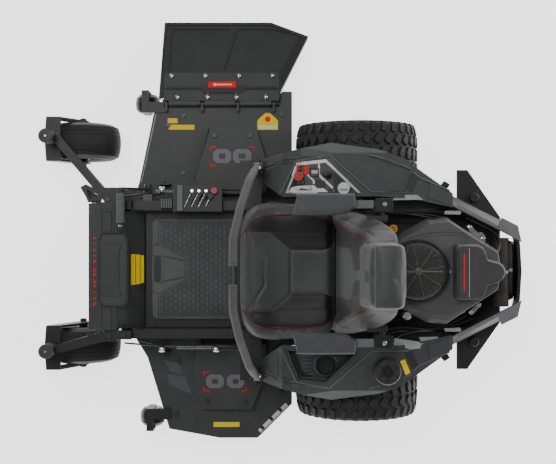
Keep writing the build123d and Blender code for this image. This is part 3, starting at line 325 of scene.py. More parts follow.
def rod(name, points, radius_mm, material, body, smooth=True, closed=False):
    """A round rod, hose or piping along points: a NURBS curve if smooth, else straight runs."""
    curve = bpy.data.curves.new(name, "CURVE")
    curve.dimensions = "3D"
    curve.bevel_depth = radius_mm / 1000
    curve.bevel_resolution = 5
    curve.use_fill_caps = True
    line = curve.splines.new("NURBS" if smooth else "POLY")
    line.points.add(len(points) - 1)
    for point, place in zip(line.points, points):
        point.co = (*at(*place), 1.0)
    if smooth:
        line.order_u = 3
        line.use_endpoint_u = not closed
        line.resolution_u = 8
    line.use_cyclic_u = closed
    curve.materials.append(material)
    obj = bpy.data.objects.new(name, curve)
    bpy.context.scene.collection.objects.link(obj)
    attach(obj, body)
    return obj


print("a plate, a lathe, a loft and a rod are ready")

# %% [markdown]
# ## Floor, light and camera
# The mower stands on a pale studio floor. Soft light from above and a bright surround show black plastic
# without hard reflections. The camera hangs 4.5 m over the machine and looks straight down.

# %% Floor
floor_mesh = bpy.data.meshes.new("studio_floor")
floor_mesh.from_pydata([(-30, -30, 0), (30, -30, 0), (30, 30, 0), (-30, 30, 0)], [], [(0, 1, 2, 3)])
studio_floor = bpy.data.objects.new("studio_floor", floor_mesh)
bpy.context.scene.collection.objects.link(studio_floor)
white_floor = grained("lit_white_floor", "f2f2f2", "f5f5f5", 0.85, 20.0, 0.0, patch_mm=900,
                      Emission_Color=(1, 1, 1, 1), Emission_Strength=2.0)
floor_mesh.materials.append(white_floor)
print("the studio floor is", round(studio_floor.dimensions.x), "m wide")

# %% Soft light from above and a bright surround
def softbox(name, place, aim, size, watts):
    """A round soft lamp at a place in metres, aimed at a point."""
    lamp = bpy.data.lights.new(name, "AREA")
    lamp.shape, lamp.size, lamp.energy = "DISK", size, watts
    obj = bpy.data.objects.new(name, lamp)
    bpy.context.scene.collection.objects.link(obj)
    obj.location = Vector(place)
    obj.rotation_euler = (Vector(aim) - obj.location).to_track_quat("-Z", "Y").to_euler()
    return obj


softbox("overhead_softbox", (-1.2, 1.6, 5.6), (0, 0, 0.4), 3.0, 105)
softbox("rear_strip", (4.2, 1.6, 3.4), (0.2, 0, 0.5), 2.0, 62)
softbox("side_strip", (-1.0, -4.4, 3.2), (0, 0, 0.5), 2.0, 34)
world = bpy.data.worlds.new("bright_surround")
bpy.context.scene.world = world
world.use_nodes = True
world.node_tree.nodes["Background"].inputs["Color"].default_value = (1, 1, 1, 1)
world.node_tree.nodes["Background"].inputs["Strength"].default_value = 0.26
print(len(bpy.data.lights), "soft lamps")

# %% Camera straight above
CAMERA_HEIGHT = 4.5
CAMERA_OVER = (-346, 161)
FOCAL_MM = 62.0
lens = bpy.data.cameras.new("overhead_camera")
lens.lens = FOCAL_MM
lens.sensor_width = 36.0
camera = bpy.data.objects.new("overhead_camera", lens)
bpy.context.scene.collection.objects.link(camera)
camera.location = at(*CAMERA_OVER, 0) + Vector((0, 0, CAMERA_HEIGHT))
camera.rotation_euler = (0, 0, 0)
bpy.context.scene.camera = camera
print("camera at", tuple(round(v, 3) for v in camera.location))

# %% [markdown]
# ## Plans, seams and curves
# An upholsterer works from flat patterns: panels, seam lines and piping drawn in plan, then sewn over foam.
# Three small functions do the same here. One rounds a few points into a curve, one tells how far a point is
# from a seam, and one tells whether it is inside a panel.

# %% Pattern helpers
import numpy as np
from mathutils.bvhtree import BVHTree


def rounded(points, steps=6, closed=True):
    """A smooth curve through a few points, closed or open."""
    count = len(points)
    pick = (lambda k: points[k % count]) if closed else (lambda k: points[min(max(k, 0), count - 1)])
    curve = []
    for i in range(count if closed else count - 1):
        a, b, c, d = (Vector(pick(i + k)) for k in (-1, 0, 1, 2))
        for step in range(steps):
            t = step / steps
            curve.append(0.5 * (2 * b + (c - a) * t + (2 * a - 5 * b + 4 * c - d) * t * t
                                + (3 * b - a - 3 * c + d) * t ** 3))
    if not closed:
        curve.append(Vector(points[-1]))
    return [tuple(v) for v in curve]


def both_halves(half):
    """A whole outline from its half on the machine's right, which runs from the front to the back."""
    return list(half) + [(x, -y) for x, y in reversed(half) if abs(y) > 0.01]


def seam_distance(spots, path):
    """How far each (x, y) spot is from a line of points, in millimetres."""
    best = np.full(len(spots), 1e9)
    for a, b in zip(path, path[1:]):
        start, run = np.array(a), np.array(b) - np.array(a)
        along = np.clip(((spots - start) @ run) / (run @ run), 0, 1)
        best = np.minimum(best, np.linalg.norm(spots - start - along[:, None] * run, axis=1))
    return best


def inside(spots, outline):
    """Whether each (x, y) spot is inside a closed outline."""
    odd = np.zeros(len(spots), bool)
    for (xa, ya), (xb, yb) in zip(outline, outline[1:] + outline[:1]):
        if ya != yb:
            crosses = (ya > spots[:, 1]) != (yb > spots[:, 1])
            odd ^= crosses & (spots[:, 0] < xa + (spots[:, 1] - ya) / (yb - ya) * (xb - xa))
    return odd


def panel_depth(spots, outline):
    """How deep each spot is inside a panel: positive inside, negative outside."""
    return seam_distance(spots, outline + outline[:1]) * np.where(inside(spots, outline), 1, -1)


def spots_of(obj):
    """Every vertex of a mesh in the machine's millimetres."""
    flat = np.empty(len(obj.data.vertices) * 3)
    obj.data.vertices.foreach_get("co", flat)
    return (flat.reshape(-1, 3) - np.array(AXLE)) * 1000


def settle(obj, spots):
    """Puts every vertex of a mesh at the given millimetres."""
    obj.data.vertices.foreach_set("co", (spots / 1000 + np.array(AXLE)).ravel())
    obj.data.update()


# %% [markdown]
# ## Foam under vinyl
# A seat maker cuts the foam a little small and the cover squeezes it full. The cloth solver does this: it
# starts from the foam's form, pressure fills it, and no point may swell more than the cover gives. Seams come
# after, because they are the threads that pull the cover down.

# %% Stuff a form, sew its seams
def stuffed(obj, voxel_mm, cap_mm, pressure=4.0):
    """Puffs a closed form with a cloth simulation."""
    bpy.ops.object.select_all(action="DESELECT")
    obj.select_set(True)
    bpy.context.view_layer.objects.active = obj
    even = obj.modifiers.new("even_mesh", "REMESH")
    even.mode = "VOXEL"
    even.voxel_size = voxel_mm / 1000
    bpy.ops.object.modifier_apply(modifier=even.name)
    before = spots_of(obj)
    cloth = obj.modifiers.new("stuffing", "CLOTH")
    cloth.settings.use_pressure = True
    cloth.settings.uniform_pressure_force = pressure
    cloth.settings.effector_weights.gravity = 0.0
    cloth.settings.quality = 5
    cloth.point_cache.frame_start, cloth.point_cache.frame_end = 1, 20
    for frame_number in range(1, 21):
        bpy.context.scene.frame_set(frame_number)
    bpy.ops.object.modifier_apply(modifier=cloth.name)
    bpy.context.scene.frame_set(1)
    swell = spots_of(obj) - before
    far = np.linalg.norm(swell, axis=1, keepdims=True)
    settle(obj, before + swell * np.minimum(1, cap_mm / np.maximum(far, 1e-6)))
    print(obj.name, "swelled by up to", round(float(min(far.max(), cap_mm)), 1), "mm")
    obj.data.shade_smooth()


def sewn(obj, seams, depth_mm, half_width_mm=4.5):
    """Pulls the cover down along seams drawn in plan, each a groove with soft shoulders."""
    spots = spots_of(obj)
    normals = np.empty(len(spots) * 3)
    obj.data.vertex_normals.foreach_get("vector", normals)
    normals = normals.reshape(-1, 3)
    reach = np.min([seam_distance(spots[:, :2], seam) for seam in seams], axis=0)
    pull = depth_mm * np.exp(-(reach / half_width_mm) ** 2) * np.clip(normals[:, 2] * 2, 0, 1)
    settle(obj, spots - normals * pull[:, None])


def paint_panels(obj, dark, light):
    """Stores how deep each vertex is inside the dark inserts: inside one outline and outside the other."""
    plan = spots_of(obj)[:, :2]
    depth = np.minimum(panel_depth(plan, dark), -panel_depth(plan, light))
    depth = np.where(spots_of(obj)[:, 2] < obj["panels_above"], -50, depth)
    layer = obj.data.attributes.new("insert_mm", "FLOAT", "POINT")
    layer.data.foreach_set("value", depth)


def laid_on(obj, path, spacing_mm=12, lift_mm=0.0):
    """A line drawn in plan, laid on a mesh's upper surface as points in machine millimetres."""
    tree = BVHTree.FromPolygons([v.co for v in obj.data.vertices], [p.vertices for p in obj.data.polygons])
    points = []
    for (xa, ya), (xb, yb) in zip(path, path[1:]):
        steps = max(1, round(math.hypot(xb - xa, yb - ya) / spacing_mm))
        points += [(xa + (xb - xa) * s / steps, ya + (yb - ya) * s / steps) for s in range(steps)]
    points.append(path[-1])
    found = []
    for x, y in points:
        hit = tree.ray_cast(at(x, y, 1300), Vector((0, 0, -1)))[0]
        if hit is not None:
            found.append((x, y, (hit.z - AXLE.z) * 1000 + lift_mm))
    return found


def refined(obj):
    """One subdivision, which rounds what the voxels left."""
    smooth = obj.modifiers.new("refined", "SUBSURF")
    smooth.levels = smooth.render_levels = 1


# %% [markdown]
# Marine vinyl has an embossed leather grain about 1.5 mm across and a soft, slightly greasy sheen. The
# inserts are the same vinyl in black, and the same shader switches colour where the stored panel depth
# changes sign, so the colour edge stays as sharp as a sewn one. Its IOR is 1.53.

# %% Vinyl with panels
def vinyl(name, body_hex, insert_hex):
    """Embossed vinyl in two colours, switched by the stored panel depth."""
    material = grained(name, body_hex, body_hex, 0.50, 1.6, 0.30, ior=1.53, Sheen_Weight=0.12,
                       Sheen_Roughness=0.5)
    tree = material.node_tree
    shader = tree.nodes["Principled BSDF"]
    depth = add(tree, "ShaderNodeAttribute", {"attribute_name": "insert_mm"})
    edge = add(tree, "ShaderNodeMapRange", {"From Min": -0.5, "From Max": 0.5},
               {"Value": depth.outputs["Fac"]})
    place = add(tree, "ShaderNodeTexCoord")
    worn = add(tree, "ShaderNodeTexNoise", {"Scale": 22.0, "Detail": 3.0},
               {"Vector": place.outputs["Object"]})
    tone = add(tree, "ShaderNodeMapRange", {"To Min": 0.86, "To Max": 1.12}, {"Value": worn.outputs["Fac"]})
    colours = add(tree, "ShaderNodeMix", {"data_type": "RGBA"}, {0: edge.outputs["Result"]})
    colours.inputs[6].default_value, colours.inputs[7].default_value = linear(body_hex), linear(insert_hex)
    drifted = add(tree, "ShaderNodeVectorMath", {"operation": "SCALE"},
                  {0: colours.outputs[2], "Scale": tone.outputs["Result"]})
    tree.links.new(drifted.outputs["Vector"], shader.inputs["Base Color"])
    cells = add(tree, "ShaderNodeTexVoronoi", {"Scale": 1000 / 1.5, "feature": "SMOOTH_F1"},
                {"Vector": place.outputs["Object"]})
    grain = add(tree, "ShaderNodeBump", {"Strength": 0.35, "Distance": 0.00018},
                {"Height": cells.outputs["Distance"]})
    tree.links.new(grain.outputs["Normal"], shader.inputs["Normal"])
    return material


SEAT_VINYL = vinyl("seat_vinyl_panels", "3e3f40", "0d0d0e")
PIPING = grained("piping_vinyl_red", "6a1416", "7d1a1c", 0.45, 2.0, 0.1, patch_mm=20)
THREAD = grained("polyester_thread_grey", "626364", "737475", 0.6, 0.8, 0.1, patch_mm=10)
print("seat vinyl, piping and thread mixed")

# %% [markdown]
# ## The seat cushion
# The plan is a wide tongue with rounded front corners. The top is crowned at the front, dished where one sits
# and raised along both sides. It is drawn as rings that grow from the middle to the outline.

# %% Cushion form
def ramp(value, start, end):
    """0 before start, 1 after end, and a smooth rise between."""
    t = min(1.0, max(0.0, (value - start) / (end - start)))
    return t * t * (3 - 2 * t)


seat_low = mm("seat_cushion")[0]
CUSHION_HALF = [(seat_low.x + 3, 0), (seat_low.x + 4, 105), (-500, 180), (-482, 238), (-440, 276),
                (-370, 286), (-290, 284), (-190, 276), (-130, 256), (-110, 205), (-108, 100), (-108, 0)]
cushion_plan = rounded(both_halves(CUSHION_HALF))


def cushion_top(x, y):
    """The height of the cushion's top: a front roll, two side bolsters and a dish between them."""
    side = ramp(abs(y), 120, 225)
    front = math.exp(-((x + 440) / 62) ** 2)
    dish = math.exp(-((x + 230) / 110) ** 2 - (y / 120) ** 2)
    return 616 + 14 * front + 12 * side - 12 * dish


MIDDLE_X, EDGE_Z, RINGS = -300, 566, 26
rings = []
for step in range(1, RINGS + 1):
    t = step / RINGS
    crown = max(0.0, 1 - t ** 14) ** 0.5
    ring = [(MIDDLE_X + t * (x - MIDDLE_X), t * y) for x, y in cushion_plan]
    rings.append([(x, y, EDGE_Z + (cushion_top(x, y) - EDGE_Z) * crown) for x, y in ring])
for t, z in ((1.0, 545), (0.985, 532), (0.95, 528)):
    rings.append([(MIDDLE_X + t * (x - MIDDLE_X), t * y, z) for x, y in cushion_plan])
cushion = piece("seat_cushion_vinyl", *stack(rings), SEAT_VINYL, "seat")
stuffed(cushion, 5.5, 7)

CENTRE_HALF = [(-530, 150), (-472, 161), (-379, 161), (-294, 89), (-161, 88), (-95, 118)]
PIPE_HALF = [(-490, 152), (-458, 195), (-421, 217), (-375, 229), (-294, 233), (-171, 221), (-128, 196)]
FRONT_ROLL = [(-470, 158), (-401, 58), (-401, -58), (-470, -158)]
centre_seams = [CENTRE_HALF[1:], [(x, -y) for x, y in CENTRE_HALF[1:]]]
pipe_lines = [rounded(PIPE_HALF, closed=False), rounded([(x, -y) for x, y in PIPE_HALF], closed=False)]
side_creases = [[(-379, 161), (-110, 150)], [(-379, -161), (-110, -150)]]
sewn(cushion, centre_seams + [FRONT_ROLL, [(-294, 89), (-294, -89)]], 5.0)
sewn(cushion, pipe_lines, 4.0)
sewn(cushion, side_creases, 1.6, 3.0)
cushion["panels_above"] = 570.0
paint_panels(cushion, both_halves(PIPE_HALF + [(-90, 185)]), both_halves(CENTRE_HALF))
refined(cushion)
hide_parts("seat_cushion")
for side, line in zip(("right", "left"), pipe_lines):
    rod(f"{side}_cushion_piping", laid_on(cushion, line, lift_mm=0.6), 1.9, PIPING, "seat")
plate("cushion_slide_base", [(-460, -190), (-130, -190), (-130, 190), (-460, 190)], 520.6, 526, POWDER_BLACK,
      "seat", 1.0)
print("the cushion has", len(cushion.data.vertices), "corners before its subdivision")

# %% [markdown]
# Lockstitches run along the seams, about 5 mm long and 1 mm thick, one row on the panel's side.

# %% Stitches
def stitched(name, obj, paths, body, every_mm=8.0):
    """Rows of lockstitches on a mesh, each a short rounded bar, as one piece."""
    corners, faces = [], []
    for path in paths:
        points = laid_on(obj, path, every_mm, 0.35)
        for a, b in zip(points, points[1:]):
            start, end = Vector(a), Vector(b)
            run = (end - start).normalized() * 2.6
            middle = (start + end) / 2
            across = Vector((0, 0, 1)).cross(run).normalized() * 0.6
            base = len(corners)
            for lengthwise, sideways, up in ((-1, -1, 0), (1, -1, 0), (1, 1, 0), (-1, 1, 0),
                                             (-0.6, -0.6, 0.7), (0.6, -0.6, 0.7), (0.6, 0.6, 0.7),
                                             (-0.6, 0.6, 0.7)):
                corners.append(tuple(middle + run * lengthwise + across * sideways + Vector((0, 0, up))))
            faces += [tuple(base + i for i in f) for f in
                      ((0, 1, 2, 3), (4, 5, 6, 7), (0, 1, 5, 4), (1, 2, 6, 5), (2, 3, 7, 6), (3, 0, 4, 7))]
    return piece(name, corners, faces, THREAD, body)


def beside(path, offset_mm):
    """A line drawn beside another one in plan, at a distance to its left."""
    moved = []
    for i, (x, y) in enumerate(path):
        before, after = path[max(0, i - 1)], path[min(len(path) - 1, i + 1)]
        run = Vector((after[0] - before[0], after[1] - before[1])).normalized()
        moved.append((x - run.y * offset_mm, y + run.x * offset_mm))
    return moved


stitched("cushion_stitches", cushion, [beside(FRONT_ROLL, 9), beside(CENTRE_HALF[1:], -8),
                                      beside([(x, -y) for x, y in CENTRE_HALF[1:]], 8),
                                      beside([(-294, 80), (-294, -80)], 8)], "seat")
print("cushion stitched")

# %% [markdown]
# ## The backrest and headrest
# Upright slices across the seat's width give its bucket shape. In the middle it stands tall behind the spine.
# Towards the sides the front edge comes forward and drops, and the back edge curves in.

# %% Backrest form
ACROSS = [0, 95, 143, 175, 200, 224, 244]
FRONT_EDGE_X = [-38, -36, -26, -62, -108, -122, -116]
FRONT_EDGE_Z = [968, 960, 868, 792, 712, 682, 662]
REAR_EDGE_X = [92, 96, 110, 88, 60, 18, -34]
REAR_EDGE_Z = [984, 982, 938, 892, 846, 792, 738]
FOOT_X, HEEL_X, FOOT_Z = -102, -36, 552


def back_slice(y, scale):
    """One closed upright slice of the backrest at a distance y from the middle, shrunk by a scale."""
    fx, fz, rx, rz = (float(np.interp(abs(y), ACROSS, row))
                      for row in (FRONT_EDGE_X, FRONT_EDGE_Z, REAR_EDGE_X, REAR_EDGE_Z))
    points = [(FOOT_X, FOOT_Z)]
    for s in (1 / 3, 2 / 3):
        points.append((FOOT_X + (fx - FOOT_X) * s - 14 * math.sin(math.pi * s), FOOT_Z + (fz - FOOT_Z) * s))
    points += [(fx, fz), ((fx + rx) / 2, (fz + rz) / 2 + 12), (rx, rz)]
    for s in (1 / 3, 2 / 3):
        points.append((rx + (HEEL_X - rx) * s + 8, rz + (FOOT_Z - rz) * s))
    points.append((HEEL_X, FOOT_Z))
    ring = rounded(points, 5)
    mx, mz = sum(p[0] for p in ring) / len(ring), sum(p[1] for p in ring) / len(ring)
    return [(mx + (x - mx) * scale, y, mz + (z - mz) * scale) for x, z in ring]


spread = [(242, 0.5), (239, 0.82), (233, 0.95)]
spread += [(y, 1.0) for y in (220, 200, 178, 154, 130, 105, 80, 50, 20)]
slices = [back_slice(-y, s) for y, s in spread] + [back_slice(y, s) for y, s in reversed(spread)]
backrest = piece("seat_backrest_vinyl", *stack(slices), SEAT_VINYL, "seat")
stuffed(backrest, 6, 6)
BACK_PIPE_HALF = [(-138, 204), (-112, 197), (-66, 172), (-23, 141), (6, 98)]
LUMBAR_HALF = [(-140, 100), (-70, 100), (-62, 32), (-57, 18), (-42, 18), (-36, 66), (-14, 86), (30, 97)]
back_pipes = [rounded(BACK_PIPE_HALF, closed=False),
              rounded([(x, -y) for x, y in BACK_PIPE_HALF], closed=False)]
CREASES = [[(-92, 214), (-28, 176), (10, 150)], [(-28, 176), (34, 192)], [(-18, 120), (28, 104)]]
sewn(backrest, back_pipes, 4.0)
sewn(backrest, CREASES + [[(x, -y) for x, y in crease_painted_highlight] for crease_painted_highlight in CREASES], 4.0, 4.0)
sewn(backrest, [LUMBAR_HALF[:5], [(x, -y) for x, y in LUMBAR_HALF[:5]]], 2.5, 4.0)
backrest["panels_above"] = 600.0
paint_panels(backrest, both_halves(BACK_PIPE_HALF), both_halves(LUMBAR_HALF))
refined(backrest)
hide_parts("seat_back")
for side, line in zip(("right", "left"), back_pipes):
    rod(f"{side}_backrest_piping", laid_on(backrest, line, lift_mm=0.6), 1.9, PIPING, "seat")
print("the backrest has", len(backrest.data.vertices), "corners before its subdivision")

# %% Headrest
ARM_PIVOT_Z = 778
HEAD_SIDE = [(-40, 972), (-36, 1012), (-10, 1070), (16, 1088), (84, 1090), (108, 1066), (112, 1010),
             (98, 974)]
side_ring = rounded(HEAD_SIDE, 5)
mid_x, mid_z = 36, 1026
head_slices = []
for y, scale in ((117, 0.72), (114, 0.90), (107, 0.98), (90, 1.0), (45, 1.0), (0, 1.0)):
    head_slices.append([(mid_x + (x - mid_x) * scale, y, mid_z + (z - mid_z) * scale) for x, z in side_ring])
head_slices += [[(x, -y, z) for x, y, z in ring] for ring in reversed(head_slices[:-1])]
headrest = piece("headrest_vinyl", *stack(head_slices), SEAT_VINYL, "seat")
stuffed(headrest, 5, 5)
headrest["panels_above"] = 600.0
sewn(headrest, [[(-4, 118), (-4, -118)]], 3.5, 5.0)
paint_panels(headrest, [(-32, 22), (-20, 22), (-20, -22), (-32, -22)], [(500, 500), (501, 500), (501, 501)])
refined(headrest)
for name, side in SIDES:
    pivot_x = mm(f"{name}_armrest")[1].x - 17
    pin = [(0, 200), (8, 200), (8, 291), (6, 293), (0, 293)]
    if side < 0:
        pin = [(radius, -distance) for radius, distance in reversed(pin)]
    lathe(f"{name}_armrest_pin", pin, (pivot_x, 0, ARM_PIVOT_Z), "y", POWDER_BLACK, "seat", 24)
    plate(f"{name}_armrest_lug", [(0, side * 200), (78, side * 200), (78, side * 226), (0, side * 226)],
          ARM_PIVOT_Z - 18, ARM_PIVOT_Z + 18, POWDER_BLACK, "seat", 2.0)
print("headrest and armrest pins done")

# %% [markdown]
# ## Armrests
# Each pad is one soft urethane moulding with rounded edges, screwed to a flat steel link that swings on the
# seat's side pin.

# %% Armrests
def shrunk(outline, by_mm):
    """An outline drawn in by about the same distance all round."""
    cx = sum(x for x, _ in outline) / len(outline)
    cy = sum(y for _, y in outline) / len(outline)
    half_x = max(x for x, _ in outline) - cx
    half_y = max(y for _, y in outline) - cy
    return [(cx + (x - cx) * (1 - by_mm / half_x), cy + (y - cy) * (1 - by_mm / half_y)) for x, y in outline]


def cushion_plate(name, outline, levels, material, body):
    """A soft-edged moulding: one outline drawn in by a different distance at each height."""
    ring_list = [[(x, y, z) for x, y in shrunk(outline, draw)] for z, draw in levels]
    return piece(name, *stack(ring_list), material, body)


SOFT_EDGES = [(791, 12), (793, 4), (799, 0), (822, 0), (831, 3), (836, 9), (838, 18)]
ARM_HALF = [(-291, 229), (-283, 262), (-273, 300), (-262, 309), (-70, 309), (-50, 302), (-45, 258),
            (-62, 246), (-100, 229), (-278, 224)]
for name, side in SIDES:
    plan = rounded([(x, side * y) for x, y in ARM_HALF], 5)
    body = f"{name}_arm"
    pad = cushion_plate(f"{name}_armrest_pad", plan, SOFT_EDGES, URETHANE, body)
    refined(pad)
    link_ring = [(60, 795), (60, 761), (-120, 778), (-120, 790.5), (-38, 790.5)]
    piece(f"{name}_armrest_link", *stack([[(x, side * y, z) for x, z in link_ring] for y in (262, 274)]),
          POWDER_CHARCOAL, body, 1.0)
    lathe(f"{name}_armrest_boss", [(8.2, side * 250), (17, side * 250), (17, side * 286), (8.2, side * 286)],
          (60, 0, ARM_PIVOT_Z), "y", POWDER_BLACK, body, 32, 0.8)
    cap = [(-46, side * 252), (24, side * 252), (24, side * 284), (-46, side * 284)]
    plate(f"{name}_armrest_top_plate", cap, 795, 799, GREY_PLASTIC, body, 0.8)
    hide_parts(f"{name}_armrest")
print("seat done")

# %% [markdown]
# ## Drive tyres with turf tread
# A turf tyre is a carcass with blocks standing 9 mm proud: zigzag blocks in the middle, diamonds beside them
# and bars on the shoulders, repeated 34 times round. Each block is drawn flat, in millimetres along and
# across the tread, and then bent round the wheel. The blocks' tops are the CAD tyre's size.

# %% Tread
PITCHES = 34
TREAD_DEPTH, HALF_TREAD, SHOULDER_DROP = 9, 134, 17
CENTRE_BLOCK = [(-15, -20), (6, -25), (17, -4), (15, 20), (-6, 25), (-17, 4)]
DIAMOND = [(-17, 46), (3, 34), (18, 56), (15, 66), (-3, 80), (-18, 60)]
SHOULDER_BAR = [(-11, 92), (9, 86), (17, 112), (17, 131), (-5, 133), (-5, 112)]


def tyre_section(width, radius):
    """The carcass's closed profile as (radius, distance) points, from one bead round to the other."""
    half, crown = width / 2, radius - TREAD_DEPTH
    one = [(146, half * 0.76), (160, half * 0.9), (196, half * 0.985), (226, half),
           (crown - 17, half * 0.985), (crown - 6, half * 0.9), (crown - 1, half * 0.5)]
    return [(r, -d) for r, d in one] + [(crown, 0)] + [(r, d) for r, d in reversed(one)]


def tread_block(outline, radius, spin, side, mirrored):
    """A block's corners and faces, bent round the tyre at an angle."""
    corners = []
    for lift, grow in ((-TREAD_DEPTH - 3, 1.12), (-1.5, 1.0), (0, 0.90)):
        mid_s = sum(s for s, _ in outline) / len(outline)
        mid_w = sum(w for _, w in outline) / len(outline)
        for s, w in outline:
            s, w = mid_s + (s - mid_s) * grow, mid_w + (w - mid_w) * grow
            w = min(w, HALF_TREAD) * (-1 if mirrored else 1)
            angle = spin + s / radius * side
            r = radius + lift - SHOULDER_DROP * (abs(w) / HALF_TREAD) ** 4
            corners.append((r * math.sin(angle), w, r * math.cos(angle)))
    n = len(outline)
    faces = [(k * n + i, k * n + (i + 1) % n, (k + 1) * n + (i + 1) % n, (k + 1) * n + i)
             for k in range(2) for i in range(n)]
    return corners, faces + [tuple(2 * n + i for i in range(n))]


for name, side in SIDES:
    low, high = mm(f"{name}_drive_tyre")
    radius, width, mid_y = (high.z - low.z) / 2, high.y - low.y, (high.y + low.y) / 2
    hub = (0, mid_y, radius)
    carcass = lathe(f"{name}_tyre_carcass", tyre_section(width, radius), hub, "y", TYRE, f"{name}_wheel", 96)
    corners, faces = [], []
    for k in range(PITCHES):
        spin = math.tau * k / PITCHES
        half_pitch = math.pi / PITCHES
        for outline, shift, mirrored in ((CENTRE_BLOCK, 0, False), (DIAMOND, half_pitch, False),
                                         (DIAMOND, 0, True), (SHOULDER_BAR, 0, False),
                                         (SHOULDER_BAR, half_pitch, True)):
            more, sides = tread_block(outline, radius, spin + shift, side, mirrored)
            faces += [tuple(i + len(corners) for i in f) for f in sides]
            corners += [(x + hub[0], y + hub[1], z + hub[2]) for x, y, z in more]
    piece(f"{name}_tyre_tread", corners, faces, TYRE, f"{name}_wheel")
    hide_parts(f"{name}_drive_tyre")
    for r in (232, 205, 176):
        for d in (-1, 1):
            wall_y = mid_y + d * (width / 2 - (1.6 if r < 230 else 0.4) - (2.6 if r < 180 else 0))
            ring = [(r * math.cos(a) + hub[0], wall_y, r * math.sin(a) + hub[2])
                    for a in np.linspace(0, math.tau, 48, endpoint=False)]
            rod(f"{name}_sidewall_rib_{r}_{'in' if d < 0 else 'out'}", ring, 1.4, TYRE, f"{name}_wheel",
                closed=True)
for name in ("right", "left"):
    low, high = mm(f"{name}_caster_tyre")
    centre = ((low.x + high.x) / 2, (low.y + high.y) / 2, (low.z + high.z) / 2)
    for d in (-45, -27, -9, 9, 27, 45):
        r = (high.z - low.z) / 2 - 0.4 - 4.5 * (abs(d) / 60) ** 3
        ring = [(centre[0] + r * math.cos(a), centre[1] + d, centre[2] + r * math.sin(a))
                for a in np.linspace(0, math.tau, 40, endpoint=False)]
        rod(f"{name}_caster_rib_{'in' if d < 0 else 'out'}{abs(d)}", ring, 0.9, TYRE, f"{name}_caster_wheel",
            closed=True)
print(PITCHES, "pitches of 5 blocks on each drive tyre")

# %% [markdown]
# ## Floor mat and footrest
# The mat is moulded rubber with a raised frame, a finger slot and rows of short cleats laid like bricks. The
# footrest has a smooth nose, a framed pad on its ridge and a dark slope down to the floor.

# %% Mat
FLOOR = mm("floor_mats")[0].z
MAT_PLAN = [(-895, 200), (-880, 222), (-540, 222), (-531, 212), (-531, -212), (-540, -222), (-880, -222),
            (-895, -200)]
mat = plate("floor_mat_base", MAT_PLAN, FLOOR + 0.2, FLOOR + 8, MAT, "chassis", 2.0)
plate("floor_mat_field", shrunk([(-860, 208), (-545, 208), (-545, -208), (-860, -208), (-860, -112),
                                 (-745, -52), (-745, 52), (-860, 112)], 2), FLOOR + 7.6, FLOOR + 8.4,
      MAT_DARK, "chassis", 0.2)
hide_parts("floor_mats")
FIELD = [(-858, 205), (-548, 205), (-548, -205), (-858, -205), (-858, -112), (-742, -50), (-742, 50),
         (-858, 112)]
frame_top = FLOOR + 13
RIDGES = {
    "front_right": [(-893, 100), (-893, 200), (-879, 219), (-866, 219), (-866, 112)],
    "front_left": [(-893, -100), (-893, -200), (-879, -219), (-866, -219), (-866, -112)],
    "right": [(-866, 209), (-866, 219), (-542, 219), (-542, 209)],
    "left": [(-866, -209), (-866, -219), (-542, -219), (-542, -209)],
    "rear": [(-544, -219), (-534, -212), (-534, 212), (-544, 219)],
    "slot_right": [(-893, 98), (-866, 108), (-750, 48), (-750, 38), (-852, 58), (-893, 58)],
    "slot_left": [(-893, -98), (-866, -108), (-750, -48), (-750, -38), (-852, -58), (-893, -58)],
    "middle": [(-848, 54), (-752, 34), (-752, -34), (-848, -54)],
}
for name, outline in RIDGES.items():
    plate(f"mat_ridge_{name}", outline, FLOOR + 7.8, frame_top, MAT, "chassis", 2.5)
CLEAT_FACES = ((4, 5, 6, 7), (0, 1, 5, 4), (1, 2, 6, 5), (2, 3, 7, 6), (3, 0, 4, 7))
corners, faces = [], []
for column in range(16):
    x = -850 + column * 19.6
    for row in range(-8, 9):
        y = row * 26 + (13 if column % 2 else 0)
        if abs(y) > 192 or not inside(np.array([(x, y), (x, y + 11), (x, y - 11)]), FIELD).all():
            continue
        base = len(corners)
        for z, dx, dy in ((FLOOR + 8, 4.6, 9.6), (FLOOR + 12.5, 3.6, 8.4)):
            corners += [(x - dx, y - dy, z), (x + dx, y - dy, z), (x + dx, y + dy, z), (x - dx, y + dy, z)]
        faces += [tuple(base + i for i in f) for f in CLEAT_FACES]
piece("mat_cleats", corners, faces, MAT, "chassis")
SLOT = [(-886, 40), (-880, 54), (-862, 54), (-857, 40), (-857, -40), (-862, -54), (-880, -54), (-886, -40)]
plate("mat_finger_slot", rounded(SLOT, 4), FLOOR + 7.9, FLOOR + 8.6, BLACK_PLASTIC, "chassis", 0.4)
print(len(corners) // 8, "cleats on the mat")

# %% Footrest details
foot_low, foot_high = mm("footrest")
RIDGE = foot_high.z
SLOPE_START, SLOPE_END = -1026, -930
SLOPE_TOP, SLOPE_FOOT = 447, 342


def slope_z(x):
    """The height of the footrest's slope behind its ridge."""
    return SLOPE_TOP - (SLOPE_TOP - SLOPE_FOOT) * (x - SLOPE_START) / (SLOPE_END - SLOPE_START)


